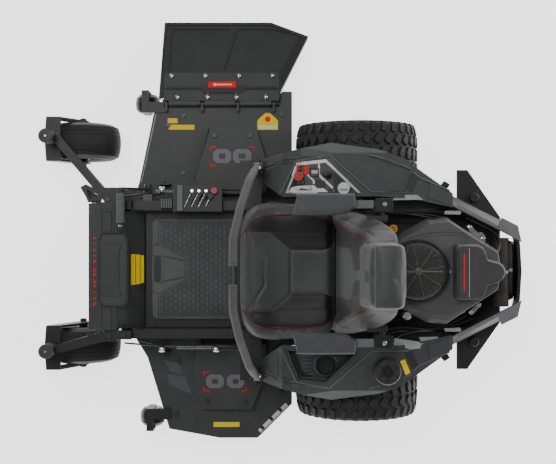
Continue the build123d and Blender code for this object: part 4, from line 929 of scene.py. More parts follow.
nose = [(foot_low.x - 2, foot_low.y + 6), (-1092, foot_low.y + 6), (-1092, foot_high.y - 6),
        (foot_low.x - 2, foot_high.y - 6)]
plate("footrest_nose_band", nose, RIDGE - 14, RIDGE + 1.5, FOOTREST, "chassis", 2.0)
plateau = [(-1101, 122), (-1086, 150), (-1000, 150), (-984, 122), (-984, -122), (-1000, -150), (-1086, -150),
           (-1101, -122)]
rise = [(x, y, RIDGE - 3) for x, y in shrunk(plateau, -8)], [(x, y, RIDGE + 7) for x, y in plateau]
piece("footrest_plateau", *stack(list(rise)), FOOTREST, "chassis", 2.0)
recess = shrunk(plateau, 10)
plate("footrest_recess", recess, RIDGE + 7, RIDGE + 7.8, FOOTREST_DARK, "chassis", 0.3)
NOTCHED_PAD = [(-1092, -110), (-1092, 110), (-1009, 110), (-1006, 98), (-1014, 84), (-1016, 64), (-1016, -64),
               (-1014, -84), (-1006, -98), (-1009, -110)]
plate("footrest_pad", NOTCHED_PAD, RIDGE + 7.6, RIDGE + 12, FOOTREST, "chassis", 2.5)
for name, side in SIDES:
    ridge_rib = [(-1089, side * 162), (-1050, side * 162), (-1050, side * 248), (-1089, side * 248)]
    plate(f"footrest_{name}_rib", ridge_rib, RIDGE, RIDGE + 4, FOOTREST, "chassis", 2.0)
    panel = [(-1022, side * 30), (-948, side * 30), (-940, side * 60), (-940, side * 236),
             (-1012, side * 236), (-1022, side * 214)]
    slope_panel = [[(x, y, slope_z(x) - 1) for x, y in panel],
                   [(x, y, slope_z(x) + 2.5) for x, y in shrunk(panel, 3)]]
    piece(f"footrest_slope_{name}", *stack(slope_panel), FOOTREST_DARK, "chassis", 1.0)
for k, (length, lean) in enumerate([(14, 0), (7, 0), (16, 0), (10, 0), (24, 9), (30, -9), (30, 9), (24, -9),
                                    (12, 0), (8, 0), (16, 0), (24, 8)]):
    y = 140 - k * 25.5
    dash = [(-1126, y), (-1117, y + lean), (-1117, y + lean - length * 0.55), (-1126, y - length * 0.55)]
    plate(f"footrest_red_dash_{k + 1}", dash, RIDGE + 1.2, RIDGE + 2.1, LABEL_RED, "chassis", 0.2)
decal_rows = [(-976, -960, 66, -66), (-958, -943, 64, -64), (-941, -928, 60, -60)]
for k, (x0, x1, y0, y1) in enumerate(decal_rows):
    ring = [(x0, y0), (x1, y0), (x1, y1), (x0, y1)]
    label = [(x, y, slope_z(x) + 2.2) for x, y in ring], [(x, y, slope_z(x) + 3.2) for x, y in ring]
    piece(f"footrest_plain_label_{k + 1}", *stack(list(label)), LABEL_YELLOW, "chassis")
print("the footrest's ridge is", round(RIDGE), "mm up and its slope ends at", SLOPE_FOOT, "mm")

# %% [markdown]
# ## Fenders and their panels
# Creases stiffen the moulded fenders. Each crease carries a thin strip in a lighter grey than the fender, a
# painted highlight where the crease catches the light.
# Each plateau is a 3 mm step that follows the top, whose height comes from the fender's own side profile. The
# control panel has a silver rim round black blocks of switches.

# %% Fender creases
FENDER_TOP = [(-413, 470), (-330, 560), (-250, 592), (-120, 612), (140, 612), (372, 566)]


def fender_z(x, y):
    """The height of a fender's outer skin: its side profile, cut by the bevel along its outer edge."""
    profile = float(np.interp(x, [p[0] for p in FENDER_TOP], [p[1] for p in FENDER_TOP]))
    return min(profile, 540 + (560 - abs(y)) * 0.9385)


def on_fender(name, outline, low, high, material, draw_in=0.0, body="chassis", bevel=0.8):
    """A plate that follows the fender's skin, subdivided along its edges so that it bends with it."""
    fine = []
    for (xa, ya), (xb, yb) in zip(outline, outline[1:] + outline[:1]):
        cuts = max(1, round(math.hypot(xb - xa, yb - ya) / 40))
        fine += [(xa + (xb - xa) * s / cuts, ya + (yb - ya) * s / cuts) for s in range(cuts)]
    top = shrunk(fine, draw_in) if draw_in else fine
    rings = [[(x, y, fender_z(x, y) + low) for x, y in fine], [(x, y, fender_z(x, y) + high) for x, y in top]]
    return piece(name, *stack(rings), material, body, bevel)


PLATEAU = [(-133, 478), (36, 321), (202, 321), (230, 381), (203, 407), (26, 470)]
STRIPE = [(201, 400), (226, 380), (201, 324), (165, 324)]
for name, side in SIDES:
    if side > 0:
        on_fender(f"{name}_fender_plateau", [(x, side * y) for x, y in PLATEAU], -1, 4, FENDER, 5, bevel=1.5)
    on_fender(f"{name}_fender_stripe", [(x, side * y) for x, y in STRIPE], 2.2 if side > 0 else -1,
              5.0 if side > 0 else 1.0, DARK_PLASTIC, 0)
    nose = [(-405, side * 400), (-345, side * 440), (-345, side * 330), (-400, side * 375)]
    on_fender(f"{name}_fender_nose_plate", nose, -1, 2.5, FENDER, 2)
    rear_facet = [(262, side * 300), (362, side * 268), (366, side * 312), (275, side * 372)]
    on_fender(f"{name}_fender_rear_facet", rear_facet, -1, 2.5, FENDER, 3)
    flange = [(-330, side * 286), (372, side * 244), (372, side * 300), (200, side * 316), (60, side * 312),
              (-330, side * 314)]
    plate(f"{name}_fender_inner_flange", flange, 486, 490, POWDER_BLACK, "chassis", 1.0)
    lip = [(122, side * 290), (126, side * 304), (150, side * 304), (156, side * 312), (220, side * 312),
           (246, side * 292)]
    plate(f"{name}_fender_latch_plate", lip, 602, 606, GREY_LIGHT, "chassis", 1.0)
    rear_lip = [(335, side * 234), (340, side * 248), (402, side * 248), (407, side * 240), (400, side * 232)]
    plate(f"{name}_rear_latch_plate", rear_lip, 566, 570, GREY_LIGHT, "chassis", 1.0)
    plate(f"{name}_seat_bracket", [(42, side * 240), (104, side * 240), (104, side * 292), (42, side * 292)],
          560, 566, BLACK_PLASTIC, "chassis", 2.0)
    lathe(f"{name}_seat_bracket_bolt", [(0, 566), (9, 566), (9, 571), (6, 573), (0, 573)],
          (74, side * 266, 0), "z", TURNED_STEEL, "chassis", 24)
for name, side in SIDES:
    plate(f"{name}_lamp", [(322, side * 352), (338, side * 372), (362, side * 356), (348, side * 336)], 548,
          566, BLACK_PLASTIC, "chassis", 3.0)
plate("left_latch_plate_wide", [(126, -270), (128, -300), (190, -318), (236, -312), (230, -286)], 602, 604,
      GREY_LIGHT, "chassis", 0.6)
plate("left_latch_plate_rear", [(232, -270), (240, -290), (304, -290), (312, -268)], 572, 574, GREY_LIGHT,
      "chassis", 0.6)

CREASES = {
    "plateau_front": [(-136, 474), (34, 323), (186, 322)],
    "plateau_side": [(24, 476), (94, 456), (196, 416)],
    "nose": [(-404, 436), (-282, 466), (-140, 474)],
    "well": [(-340, 312), (-271, 452), (-136, 474)],
    "rear": [(204, 406), (232, 382), (360, 330)],
    "waist": [(-398, 420), (-285, 452), (-275, 450)],
}
# Each crease strip is a lighter grey than the fender: a painted highlight where the crease catches the light.
for name, side in SIDES:
    for crease_painted_highlight, path in CREASES.items():
        left, right = beside(path, 3.2), beside(path, -3.2)
        strip = [(x, side * y) for x, y in left + right[::-1]]
        on_fender(f"{name}_crease_{crease_painted_highlight}", strip, 1, 6.2 if side > 0 else 3.4, FENDER_CREASE_HIGHLIGHT, 2.2, bevel=0.8)
print(len(CREASES), "creases on each fender")

# %% Control panel
for k, field in enumerate(([(-303, 331), (-261, 433), (-250, 434), (-250, 331)],
                           [(-250, 331), (-250, 434), (-152, 443), (-120, 413), (-120, 331)],
                           [(-120, 331), (-120, 413), (-36, 333)])):
    on_fender(f"panel_black_field_{k + 1}", field, -1.8, 1.4, BLACK_PLASTIC, 0, bevel=0)
on_fender("panel_black_sill", [(-184, 312), (-184, 332), (-36, 332), (-24, 322), (-24, 312)], -1.8, 3.2,
          BLACK_PLASTIC)
on_fender("panel_lower_bar", [(-300, 330), (-292, 344), (-270, 350), (-200, 352), (-186, 340), (-160, 340),
                              (-140, 322), (-300, 322)], 0, 5, PANEL_FRAME, 1.5)
for k, x in enumerate((-271, -215)):
    lathe(f"panel_bar_screw_{k + 1}", [(0, 0), (6.5, 0), (6.5, 4), (4.5, 5.5), (0, 5.5)],
          (x, 340, fender_z(x, 340) + 4), "z", ZINC, "chassis", 20)
on_fender("panel_divider", [(-184, 440), (-176, 440), (-176, 396), (-120, 342), (-126, 336), (-184, 390)], 0,
          4, PANEL_FRAME, 1.0)
on_fender("panel_short_strip", [(-228, 392), (-222, 396), (-196, 370), (-196, 356), (-204, 356), (-204, 368)],
          0, 3, PANEL_FRAME, 0.5)
on_fender("panel_red_label", [(-238, 433), (-222, 433), (-222, 393), (-238, 393)], 0, 1.8, LABEL_RED)
on_fender("panel_red_square", [(-270, 433), (-256, 433), (-256, 416), (-270, 416)], 0, 1.8, LABEL_RED)
on_fender("hour_meter_body", [(-217, 422), (-177, 422), (-177, 384), (-217, 384)], 0, 9, DARK_PLASTIC, 3)
on_fender("hour_meter_window", [(-210, 412), (-184, 412), (-184, 398), (-210, 398)], 8.8, 9.6, GREY_LIGHT)
on_fender("rocker_block", [(-272, 378), (-236, 378), (-236, 354), (-272, 354)], 0, 10, DARK_PLASTIC, 3)
for k in range(5):
    x = -190 + k * 8
    on_fender(f"panel_louvre_{k + 1}", [(x, 374), (x + 4, 374), (x + 4, 336), (x, 336)], 0, 6, DARK_PLASTIC,
              1)
lathe("throttle_knob", [(0, 0), (14, 0), (17, 6), (16, 24), (10, 30), (0, 31)],
      (-150, 396, fender_z(-150, 396) + 14), "z", BLACK_PLASTIC, "throttle", 36)
hexagon = [(-75 + 25 * math.cos(a), 342 + 25 * math.sin(a)) for a in np.radians(np.arange(0, 360, 60))]
on_fender("key_escutcheon", hexagon, 0, 6, GREY_LIGHT, 2)
lathe("key_switch_ring", [(10.5, 0), (17, 0), (17, 4), (14, 6), (10.5, 6)],
      (-80, 338, fender_z(-80, 338) + 6), "z", CHROME, "chassis", 36)
for k in range(4):
    a = math.tau * k / 4 + 0.6
    lathe(f"pto_grip_{k + 1}", [(0, 0), (3.4, 0), (3.4, 3), (2, 4), (0, 4)],
          (-262 + 9 * math.cos(a), 388 + 9 * math.sin(a), mm("pto_knob")[1].z - 1), "z", RED_PLASTIC,
          "blade_switch", 12)
print("the panel stands", round(fender_z(-200, 400)), "mm above the ground")

# %% Storage tray and fuel cap
CUP_X, CUP_Y, CUP_RADIUS = -150, -384, 38
# The ribs, the cup's ring and the cup's floor ribs take the lighter tray grey, a painted highlight on their
# raised tops.
for k in range(7):
    y = -330 - k * 15
    start, end = -262 + k * 6, -204 + (0 if k in (2, 3, 4, 5) else 14)
    on_fender(f"tray_rib_{k + 1}", [(start, y), (end, y), (end, y - 6), (start, y - 6)], -40, -31, TRAY_RIB_HIGHLIGHT,
              0.8)
lathe("cup_liner_ring", [(42, 0), (50, 0), (50, 6), (47, 8), (42, 8)],
      (CUP_X, CUP_Y, fender_z(CUP_X, CUP_Y) - 39), "z", TRAY_RIB_HIGHLIGHT, "chassis", 48, 0.6)
# A black strip along the tray's groove: painted shade in the groove.
groove = [(-290, -332), (-262, -408), (-246, -436), (-206, -436), (-206, -424), (-240, -420), (-278, -332)]
on_fender("tray_groove_painted_shade", groove, -40, -38.6, BLACK_PLASTIC)
for k in range(7):
    x = -180 + k * 10
    half = math.sqrt(max(1, CUP_RADIUS ** 2 - (x - CUP_X) ** 2))
    bar = [(x - 2, CUP_Y - half), (x + 2, CUP_Y - half), (x + 2, CUP_Y + half), (x - 2, CUP_Y + half)]
    plate(f"cup_floor_rib_{k + 1}", bar, 534, 540, TRAY_RIB_HIGHLIGHT, "chassis", 0.8)
cap_low, cap_high = mm("fuel_cap")
cap_x, cap_y = (cap_low.x + cap_high.x) / 2, (cap_low.y + cap_high.y) / 2
for k in range(6):
    a = math.tau * k / 6
    lobe = [(cap_x + r * math.cos(a + t), cap_y + r * math.sin(a + t))
            for r, t in ((22, -0.44), (46, -0.36), (51.5, -0.26), (51.5, 0.26), (46, 0.36), (22, 0.44))]
    plate(f"fuel_cap_lobe_{k + 1}", lobe, cap_high.z - 2, cap_high.z + 3, DARK_PLASTIC, "tank_cap", 1.5)
lathe("fuel_cap_crown", [(0, 0), (24, 0), (26, 3), (22, 6), (17, 6), (15, 3), (0, 3)],
      (cap_x, cap_y, cap_high.z), "z", BLACK_PLASTIC, "tank_cap", 48)
label_plan = [(150, -344), (170, -336), (193, -392), (173, -401)]
on_fender("left_fender_plain_label", [(x, y - 20) for x, y in label_plan], 0.5, 1.4, LABEL_YELLOW)
print("the cup well is", CUP_RADIUS * 2, "mm wide, and the cap's top is", round(cap_high.z), "mm up")

# %% [markdown]
# ## Engine
# A nylon screen spins over the flywheel and keeps grass out. It has rings like a drain cover, tied by eight
# spokes, with short vanes round its rim. It rides on the engine's rotor, so it spins with the crankshaft.

# %% Fan screen
screen_low, screen_high = mm("crankshaft")
CRANK = ((screen_low.x + screen_high.x) / 2, (screen_low.y + screen_high.y) / 2)
SCREEN_TOP = screen_high.z
lathe("fan_screen_dish", [(0, SCREEN_TOP + 0.5), (100, SCREEN_TOP - 3), (112.5, SCREEN_TOP - 13),
                          (113.4, SCREEN_TOP - 13), (113.4, SCREEN_TOP - 10), (102, SCREEN_TOP + 0.6),
                          (0, SCREEN_TOP + 2)], (*CRANK, 0), "z", BLACK_PLASTIC, "engine_rotor", 72)
for k, r in enumerate(range(22, 108, 7)):
    z = SCREEN_TOP + 1.4 - (r / 108) ** 3 * 2
    lathe(f"fan_screen_ring_{k + 1}", [(r, z), (r + 3, z), (r + 2.6, z + 4), (r + 0.4, z + 4)], (*CRANK, 0),
          "z", SCREEN_PLASTIC, "engine_rotor", 72)
for k in range(8):
    a = math.tau * k / 8 + 0.2
    ux, uy = math.cos(a), math.sin(a)
    spoke = [(CRANK[0] + r * ux - w * uy, CRANK[1] + r * uy + w * ux)
             for r, w in ((16, -2.4), (106, -1.8), (106, 1.8), (16, 2.4))]
    plate(f"fan_screen_spoke_{k + 1}", spoke, SCREEN_TOP + 1, SCREEN_TOP + 6.5, SCREEN_PLASTIC,
          "engine_rotor", 0.8)
for k in range(24):
    a = math.tau * k / 24
    ux, uy = math.cos(a), math.sin(a)
    fin = [(CRANK[0] + r * ux - w * uy + s * uy, CRANK[1] + r * uy + w * ux - s * ux)
           for r, w, s in ((84, -1.2, 0), (108, -1.2, 9), (108, 1.2, 9), (84, 1.2, 0))]
    plate(f"fan_screen_vane_{k + 1}", fin, SCREEN_TOP, SCREEN_TOP + 4.5, SCREEN_PLASTIC, "engine_rotor", 0.5)
plate("fan_screen_bar", [(CRANK[0] - 106, CRANK[1] - 3), (CRANK[0] + 96, CRANK[1] - 3),
                         (CRANK[0] + 96, CRANK[1] + 3), (CRANK[0] - 106, CRANK[1] + 3)], SCREEN_TOP + 4,
      SCREEN_TOP + 7.4, GREY_PLASTIC, "engine_rotor", 0.8)
lathe("fan_screen_hub", [(0, 0), (17, 0), (16, 6), (11, 8), (0, 8)], (*CRANK, SCREEN_TOP + 1), "z",
      SCREEN_PLASTIC, "engine_rotor", 36)
SHROUD_RIM = mm("engine_shroud")[1].z
lathe("shroud_mouth_ring", [(118, 0), (124, 0), (126, -4), (126, -22), (118, -22)], (*CRANK, SHROUD_RIM + 1),
      "z", BLACK_PLASTIC, "chassis", 72, 0.8)
print("the screen's top is", round(SCREEN_TOP), "mm up")

# %% [markdown]
# The moulded shroud is stiffened by two pressed arcs on each side. They are rods half sunk in its skin, whose
# height is measured from the CAD shroud point by point. The air cleaner's cover is lofted through three rings
# and carries a raised lid.

# %% Shroud and air cleaner details
SHROUD_TOP = 700
BOLT_HEAD = [(0, 0), (8, 0), (8, 5), (5, 8), (0, 8)]
for name, side in SIDES:
    for line, reach, radius in (("arc", 164, 5.0), ("line", 150, 2.2)):
        path = [(x, side * (reach - ((x - 320) / 150) ** 2 * 26)) for x in range(160, 431, 30)]
        laid = [(x, y, top_of("engine_shroud", x, y) - radius * 0.4) for x, y in path]
        rod(f"shroud_pressed_{line}_{name}", [point for point in laid if point[2] > 600], radius, SHROUD,
            "chassis")
cleaner_low, cleaner_high = mm("air_cleaner_cover")
LID = cleaner_high.z
CLEANER_HALF = [(348, 0), (348, 96), (356, 108), (434, 108), (454, 98), (466, 76), (473, 52), (486, 47),
                (522, 40), (545, 24), (555, 0)]
outline = both_halves(CLEANER_HALF)
low_ring = [(x, y + 4, cleaner_low.z + 2) for x, y in outline]
mid_ring = [(x, y + 4, LID - 14 if x < 480 else LID - 14 - (x - 480) * 0.55) for x, y in outline]
top_ring = [(440 + (x - 440) * 0.95, 4 + (y - 8) * 0.95, z + 12) for x, y, z in mid_ring]
cleaner = piece("air_cleaner_body", *stack([low_ring, mid_ring, top_ring]), COVER, "chassis", 3.0)
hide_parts("air_cleaner_cover")
plate("air_cleaner_lid", [(358, 100), (366, 106), (428, 106), (436, 98), (436, -90), (428, -98), (366, -98),
                          (358, -92)], LID - 3, LID + 3, COVER, "chassis", 2.0)
plate("air_cleaner_grey_line", [(397, 98), (400, 98), (400, -94), (397, -94)], LID + 3.6, LID + 4.4,
      GREY_LIGHT, "chassis", 0.2)
plate("air_cleaner_red_line", [(376, 76), (382, 76), (382, -70), (376, -70)], LID + 3.6, LID + 4.4, LABEL_RED,
      "chassis", 0.2)
lathe("shroud_bolt", BOLT_HEAD, (338, 4, SHROUD_TOP), "z", ZINC, "chassis", 24)
dip_low, dip_high = mm("dipstick")
dip = ((dip_low.x + dip_high.x) / 2, (dip_low.y + dip_high.y) / 2, dip_high.z + 1)
lathe("dipstick_ring", [(9, 0), (17, 0), (18, 4), (14, 8), (9, 6)], dip, "z", YELLOW_PLASTIC, "oil_dipstick",
      36)
print("the air cleaner's lid is", round(LID), "mm up")

# %% [markdown]
# Behind the engine a black silencer lies across the machine, held by bare steel brackets and shielded by thin
# black plates. The rear guard's corners carry flat grey plates and two posts.

# %% Silencer, brackets and guard plates
bracket = [(423, 186), (434, 192), (470, 158), (486, 160), (501, 140), (498, 118), (480, 112), (470, 128),
           (452, 134)]
plate("muffler_bracket_right", bracket, 590, 594, TURNED_STEEL, "chassis", 1.0)
plate("muffler_bracket_left", [(430, -166), (446, -178), (484, -138), (470, -128)], 590, 594, TURNED_STEEL,
      "chassis", 1.0)
for k, (x, y) in enumerate(((437, 180), (490, 134), (440, -168), (474, -137))):
    lathe(f"engine_bracket_bolt_{k + 1}", [(0, 0), (8, 0), (8, 5), (5, 6), (0, 6)], (x, y, 594), "z", ZINC,
          "chassis", 20)
SILENCER = (620, 0, 500)
lathe("silencer_body", [(0, -98), (17, -98), (21, -88), (21, 103), (17, 113), (0, 113)], SILENCER, "y",
      POWDER_BLACK, "chassis", 40)
lathe("silencer_band", [(21, -3), (22.6, -3), (22.6, 9), (21, 9)], SILENCER, "y", CHROME, "chassis", 40)
for side in (1, -1):
    inner = [(604, 0), (604, side * 108), (650, side * 112), (658, side * 60), (660, 0)]
    plate(f"bumper_inner_plate_{side + 2}", inner, 470, 474, POWDER_BLACK, "chassis", 0.6)
    shield = [(576, side * 30), (640, side * 96), (646, side * 118), (600, side * 138), (560, side * 120)]
    plate(f"silencer_shield_{side + 2}", shield, 462, 466, POWDER_BLACK, "chassis", 0.6)
    corner = [(573, side * 221), (640, side * 187), (656, side * 118), (606, side * 150), (556, side * 184)]
    plate(f"guard_corner_{side + 2}", corner, 563, 566, GUARD_GREY, "chassis", 0.8)
    lathe(f"guard_post_{side + 2}", [(0, 380), (21, 380), (21, 412), (17, 416), (0, 416)],
          (492, side * 308, 0), "z", POWDER_BLACK, "chassis", 32)
lathe("oil_filter", [(0, 560), (19, 560), (19, 626), (14, 632), (0, 632)], (176, -176, 0), "z", ZINC,
      "chassis", 32)
lathe("muffler_band", [(38.5, -6), (40.5, -6), (40.5, 6), (38.5, 6)], (574, -5, 520), "y", TURNED_STEEL,
      "chassis", 48)
print("silencer, brackets and guard plates done")

# %% [markdown]
# Hoses and cables run from the sides to the engine. Each is a few listed points and a radius, and a NURBS
# curve rounds the bends between them.

# %% Hoses, cables and side tubes
HOSES = {
    "fuel_hose": ([(90, -330, 500), (150, -260, 520), (250, -242, 560), (360, -226, 560),
                   (430, -180, 560)], 5),
    "breather_hose": ([(520, 60, 640), (560, 92, 600), (560, 150, 560), (500, 190, 520),
                       (440, 220, 500)], 7),
    "throttle_cable": ([(-60, 330, 560), (40, 262, 560), (140, 240, 590), (240, 226, 620),
                        (330, 205, 640)], 3),
    "choke_cable": ([(-40, 322, 550), (60, 250, 540), (150, 232, 570), (260, 236, 600),
                     (350, 214, 620)], 3),
    "harness_right": ([(-20, 300, 520), (60, 240, 510), (200, 250, 500), (330, 244, 500),
                       (440, 230, 500)], 8),
    "harness_left": ([(40, -290, 500), (140, -240, 505), (260, -250, 505), (380, -240, 500),
                      (470, -200, 500)], 8),
    "battery_lead": ([(10, -262, 520), (110, -236, 530), (190, -228, 560), (260, -236, 590)], 5),
}
for name, (route, radius) in HOSES.items():
    rod(name, route, radius, CABLE, "chassis")
for name, side in SIDES:
    rod(f"{name}_engine_side_tube", [(20, side * 246, 500), (430, side * 246, 500)], 11, POWDER_BLACK,
        "chassis", smooth=False)
    strip = [(384, side * 262), (398, side * 274), (636, side * 146), (634, side * 134)]
    plate(f"{name}_guard_edge_strip", strip, 561, 564, GUARD_GREY, "chassis", 0.6)
    plate(f"{name}_engine_deck_plate", [(60, side * 200), (430, side * 200), (430, side * 257),
                                        (60, side * 257)], 412, 416, POWDER_BLACK, "chassis", 1.0)
print(len(HOSES), "hoses and cables")

# %% [markdown]
# ## Deck, chute and lift
# The deck's top carries belt covers with red corner marks, plain decals and domed bolts. The rubber chute has
# raised outlines and two rows of domed bolts through its hinge plate.

# %% Deck details
DECK = 196
COVER_Z = mm("belt_covers")[1].z


def on_deck(name, outline, z, thick, material, bevel=0.3):
    """A thin plate or decal laid on the deck at a height."""
    return plate(name, outline, z - 0.4, z + thick, material, "deck", bevel)


def chamfered(x0, y0, x1, y1, cut):
    """A rectangle's outline with its corners cut off."""
    return [(x0 + cut, y0), (x1 - cut, y0), (x1, y0 + cut), (x1, y1 - cut), (x1 - cut, y1), (x0 + cut, y1),
            (x0, y1 - cut), (x0, y0 + cut)]


for name, y0, y1, blocks in (("right", 467, 530, ((-635, -554), (-547, -464))),
                             ("left", -534, -473, ((-666, -587), (-573, -496)))):
    for k, (x0, x1) in enumerate(blocks):
        on_deck(f"{name}_cover_block_{k + 1}", chamfered(x0, y0, x1, y1, 16), COVER_Z, 0.6, DECAL_GREY)
        on_deck(f"{name}_cover_block_{k + 1}_centre", chamfered(x0 + 26, y0 + 20, x1 - 26, y1 - 20, 3),
                COVER_Z + 0.5, 0.4, POWDER_CHARCOAL)
COVER_CORNERS = {"right": ((-648, 541, 1, -1), (-449, 541, -1, -1), (-648, 454, 1, 1), (-449, 454, -1, 1)),
                 "left": ((-678, -460, 1, -1), (-484, -460, -1, -1), (-678, -547, 1, 1), (-484, -547, -1, 1))}
for name, places in COVER_CORNERS.items():
    for k, (x, y, sx, sy) in enumerate(places):
        corner = [(x, y), (x + 26 * sx, y), (x + 26 * sx, y + 5 * sy), (x + 5 * sx, y + 5 * sy),
                  (x + 5 * sx, y + 18 * sy), (x, y + 18 * sy)]
        on_deck(f"{name}_cover_corner_{k + 1}", corner, COVER_Z + 0.4, 0.7, LABEL_RED, 0.1)
on_deck("deck_label_small", [(-842, 672), (-798, 672), (-798, 650), (-842, 650)], DECK, 0.6, LABEL_YELLOW)
on_deck("deck_label_long", [(-837, 643), (-722, 643), (-722, 621), (-837, 621)], DECK, 0.6, LABEL_YELLOW)
on_deck("deck_label_left", [(-636, -693), (-519, -693), (-519, -715), (-636, -715)], DECK, 0.6, LABEL_YELLOW)
house = [(-439, 660), (-430, 672), (-402, 696), (-384, 696), (-356, 672), (-346, 660), (-346, 620),
         (-439, 620)]
on_deck("deck_label_house", house, DECK, 0.6, LABEL_YELLOW)
on_deck("deck_label_house_band", [(-434, 640), (-351, 640), (-351, 625), (-434, 625)], DECK + 0.5, 0.5,
        WHITE_LABEL)
disc = [(-392 + 13 * math.cos(a), 668 + 13 * math.sin(a))
        for a in np.linspace(0, math.tau, 20, endpoint=False)]
on_deck("deck_label_house_disc", disc, DECK + 0.5, 0.5, LABEL_RED)
stripe = [(-436, -728), (-424, -742), (-300, -620), (-312, -606)]
on_deck("deck_side_stripe", stripe, DECK, 0.6, WHITE_LABEL)
for k in range(3):
    dash = [(x + k * 40, y + k * 40) for x, y in ((-428, -716), (-414, -730), (-404, -720), (-418, -706))]
    on_deck(f"deck_stripe_dash_{k + 1}", dash, DECK + 0.5, 0.5, BLACK_PLASTIC)
for k, slanted in enumerate(([(-864, -413), (-790, -428), (-770, -480), (-826, -468)],
                             [(-846, -474), (-764, -488), (-733, -568), (-834, -524)])):
    on_deck(f"deck_left_bar_{k + 1}", slanted, DECK, 0.6, BAR_GREY)
DOME_HEAD = [(0, 0), (10, 0), (9.4, 3), (6, 6), (0, 7.4)]
DOMES = {"right": [(-772, 685), (-772, 426)], "left": [(-793, -421)]}
for name, places in DOMES.items():
    for k, (x, y) in enumerate(places):
        lathe(f"deck_dome_bolt_{name}_{k + 1}", DOME_HEAD, (x, y, DECK + 0.2), "z", CHROME, "deck", 28)
rod("deck_front_bead_right", [(-894, 690, DECK + 1), (-960, 385, DECK + 1)], 2.6, GREY_LIGHT, "deck",
    smooth=False)
plate("deck_front_apron", [(-1042, 292), (-1042, 352), (-900, 352), (-900, 292)], DECK - 6, DECK - 0.5,
      POWDER_BLACK, "deck", 0.6)
apron = [(-866, 728), (-866, 760), (-352, 760), (-352, 786), (-330, 786), (-330, 728)]
plate("deck_hinge_apron", apron, DECK - 10, DECK - 4, POWDER_BLACK, "deck", 0.6)
print("deck decals and bolts done")

# %% [markdown]
# The deck's skirts are bent plates that meet at its corners, where a weld closes the joint. Each weld is a
# short bent strip that follows the two edges of its corner.

# %% Skirt corner welds
SKIRT = [(-905, 690), (-970, 381), (-1018, 250), (-1018, -262), (-932, -401), (-834, -723), (-607, -764),
         (-437, -764), (-283, -610), (-283, 733)]
for k, (before, here, after) in enumerate(zip(SKIRT, SKIRT[1:], SKIRT[2:])):
    back = Vector(before) - Vector(here)
    ahead = Vector(after) - Vector(here)
    back.normalize()
    ahead.normalize()
    reach, thick = 7.0, 5.0
    behind = Vector((back.y, -back.x)) * thick
    beyond = Vector((-ahead.y, ahead.x)) * thick
    into = Vector(here)
    seam = [into + back * reach, into, into + ahead * reach, into + ahead * reach + beyond,
            into + (behind + beyond) * 0.6, into + back * reach + behind]
    plate(f"deck_corner_weld_{k + 1}", [(v.x, v.y) for v in seam], 70.5, 190.5, POWDER_CHARCOAL, "deck", 0.8)
lip = [(-662, 625), (-722, 404), (-713, 402), (-652, 622)]
plate("right_cover_bevel", lip, DECK, COVER_Z - 8, POWDER_CHARCOAL, "deck", 2.0)
print(len(SKIRT) - 2, "corners welded")

# %% Chute outlines, bolts and label
HINGE_Y, HINGE_Z, FALL = 733, 212, 0.20


def chute_z(y):
    """The height of the sloping chute's skin."""
    return HINGE_Z + 12 - (y - HINGE_Y) * FALL


def on_chute(name, outline, low, high, material, bevel=0.6):
    """A plate that follows the chute's slope, between two distances above its skin."""
    return plate(name, outline, lambda x, y: chute_z(y) + low, lambda x, y: chute_z(y) + high, material,
                 "chute", bevel)


def chute_line(name, path, width=4.0):
    """A raised line moulded on the chute, drawn along a path."""
    left, right = beside(path, width / 2), beside(path, -width / 2)
    return on_chute(name, left + right[::-1], 4.5, 8.0, CHUTE, 1.0)


chute_line("chute_line_front", [(-834, 885), (-826, 1082), (-567, 1082)])
chute_line("chute_line_middle", [(-587, 889), (-529, 1082), (-369, 1082), (-292, 1060)])
chute_line("chute_line_edge", [(-868, 885), (-852, 1102), (-378, 1102), (-226, 1042)], 5.0)
CHUTE_BOLTS = [(x, 861) for x in (-823, -672, -521, -371)] + [(x, 762) for x in (-795, -660, -532, -400)]
for k, (x, y) in enumerate(CHUTE_BOLTS):
    lathe(f"chute_dome_bolt_{k + 1}", DOME_HEAD, (x, y, chute_z(y) + 13), "z", CHROME, "chute", 28)
on_chute("chute_plate_step", [(-850, 800), (-690, 800), (-676, 782), (-512, 782), (-498, 800), (-345, 800),
                              (-345, 812), (-850, 812)], 10, 13, POWDER_BLACK, 1.2)
on_chute("chute_side_wall", [(-241, 1054), (-334, 872), (-331, 822), (-217, 1037)], 2, 5.4, TYRE, 0.6)
on_chute("chute_red_label", [(-658, 834), (-534, 834), (-534, 806), (-658, 806)], 10, 14.2, LABEL_RED, 0.3)
arrow = [(-640, 820), (-624, 828), (-624, 823), (-552, 823), (-552, 817), (-624, 817), (-624, 812)]
on_chute("chute_label_arrow", arrow, 14, 14.8, WHITE_LABEL, 0.1)
print("the chute falls", round((chute_z(HINGE_Y) - chute_z(1102))), "mm to its outer edge")

# %% [markdown]
# The deck's height is set by a pull pin in a slotted gate beside the floor, and a foot pedal lifts the deck
# to change it. Thin rods, springs and brake cables run back from there on both sides.

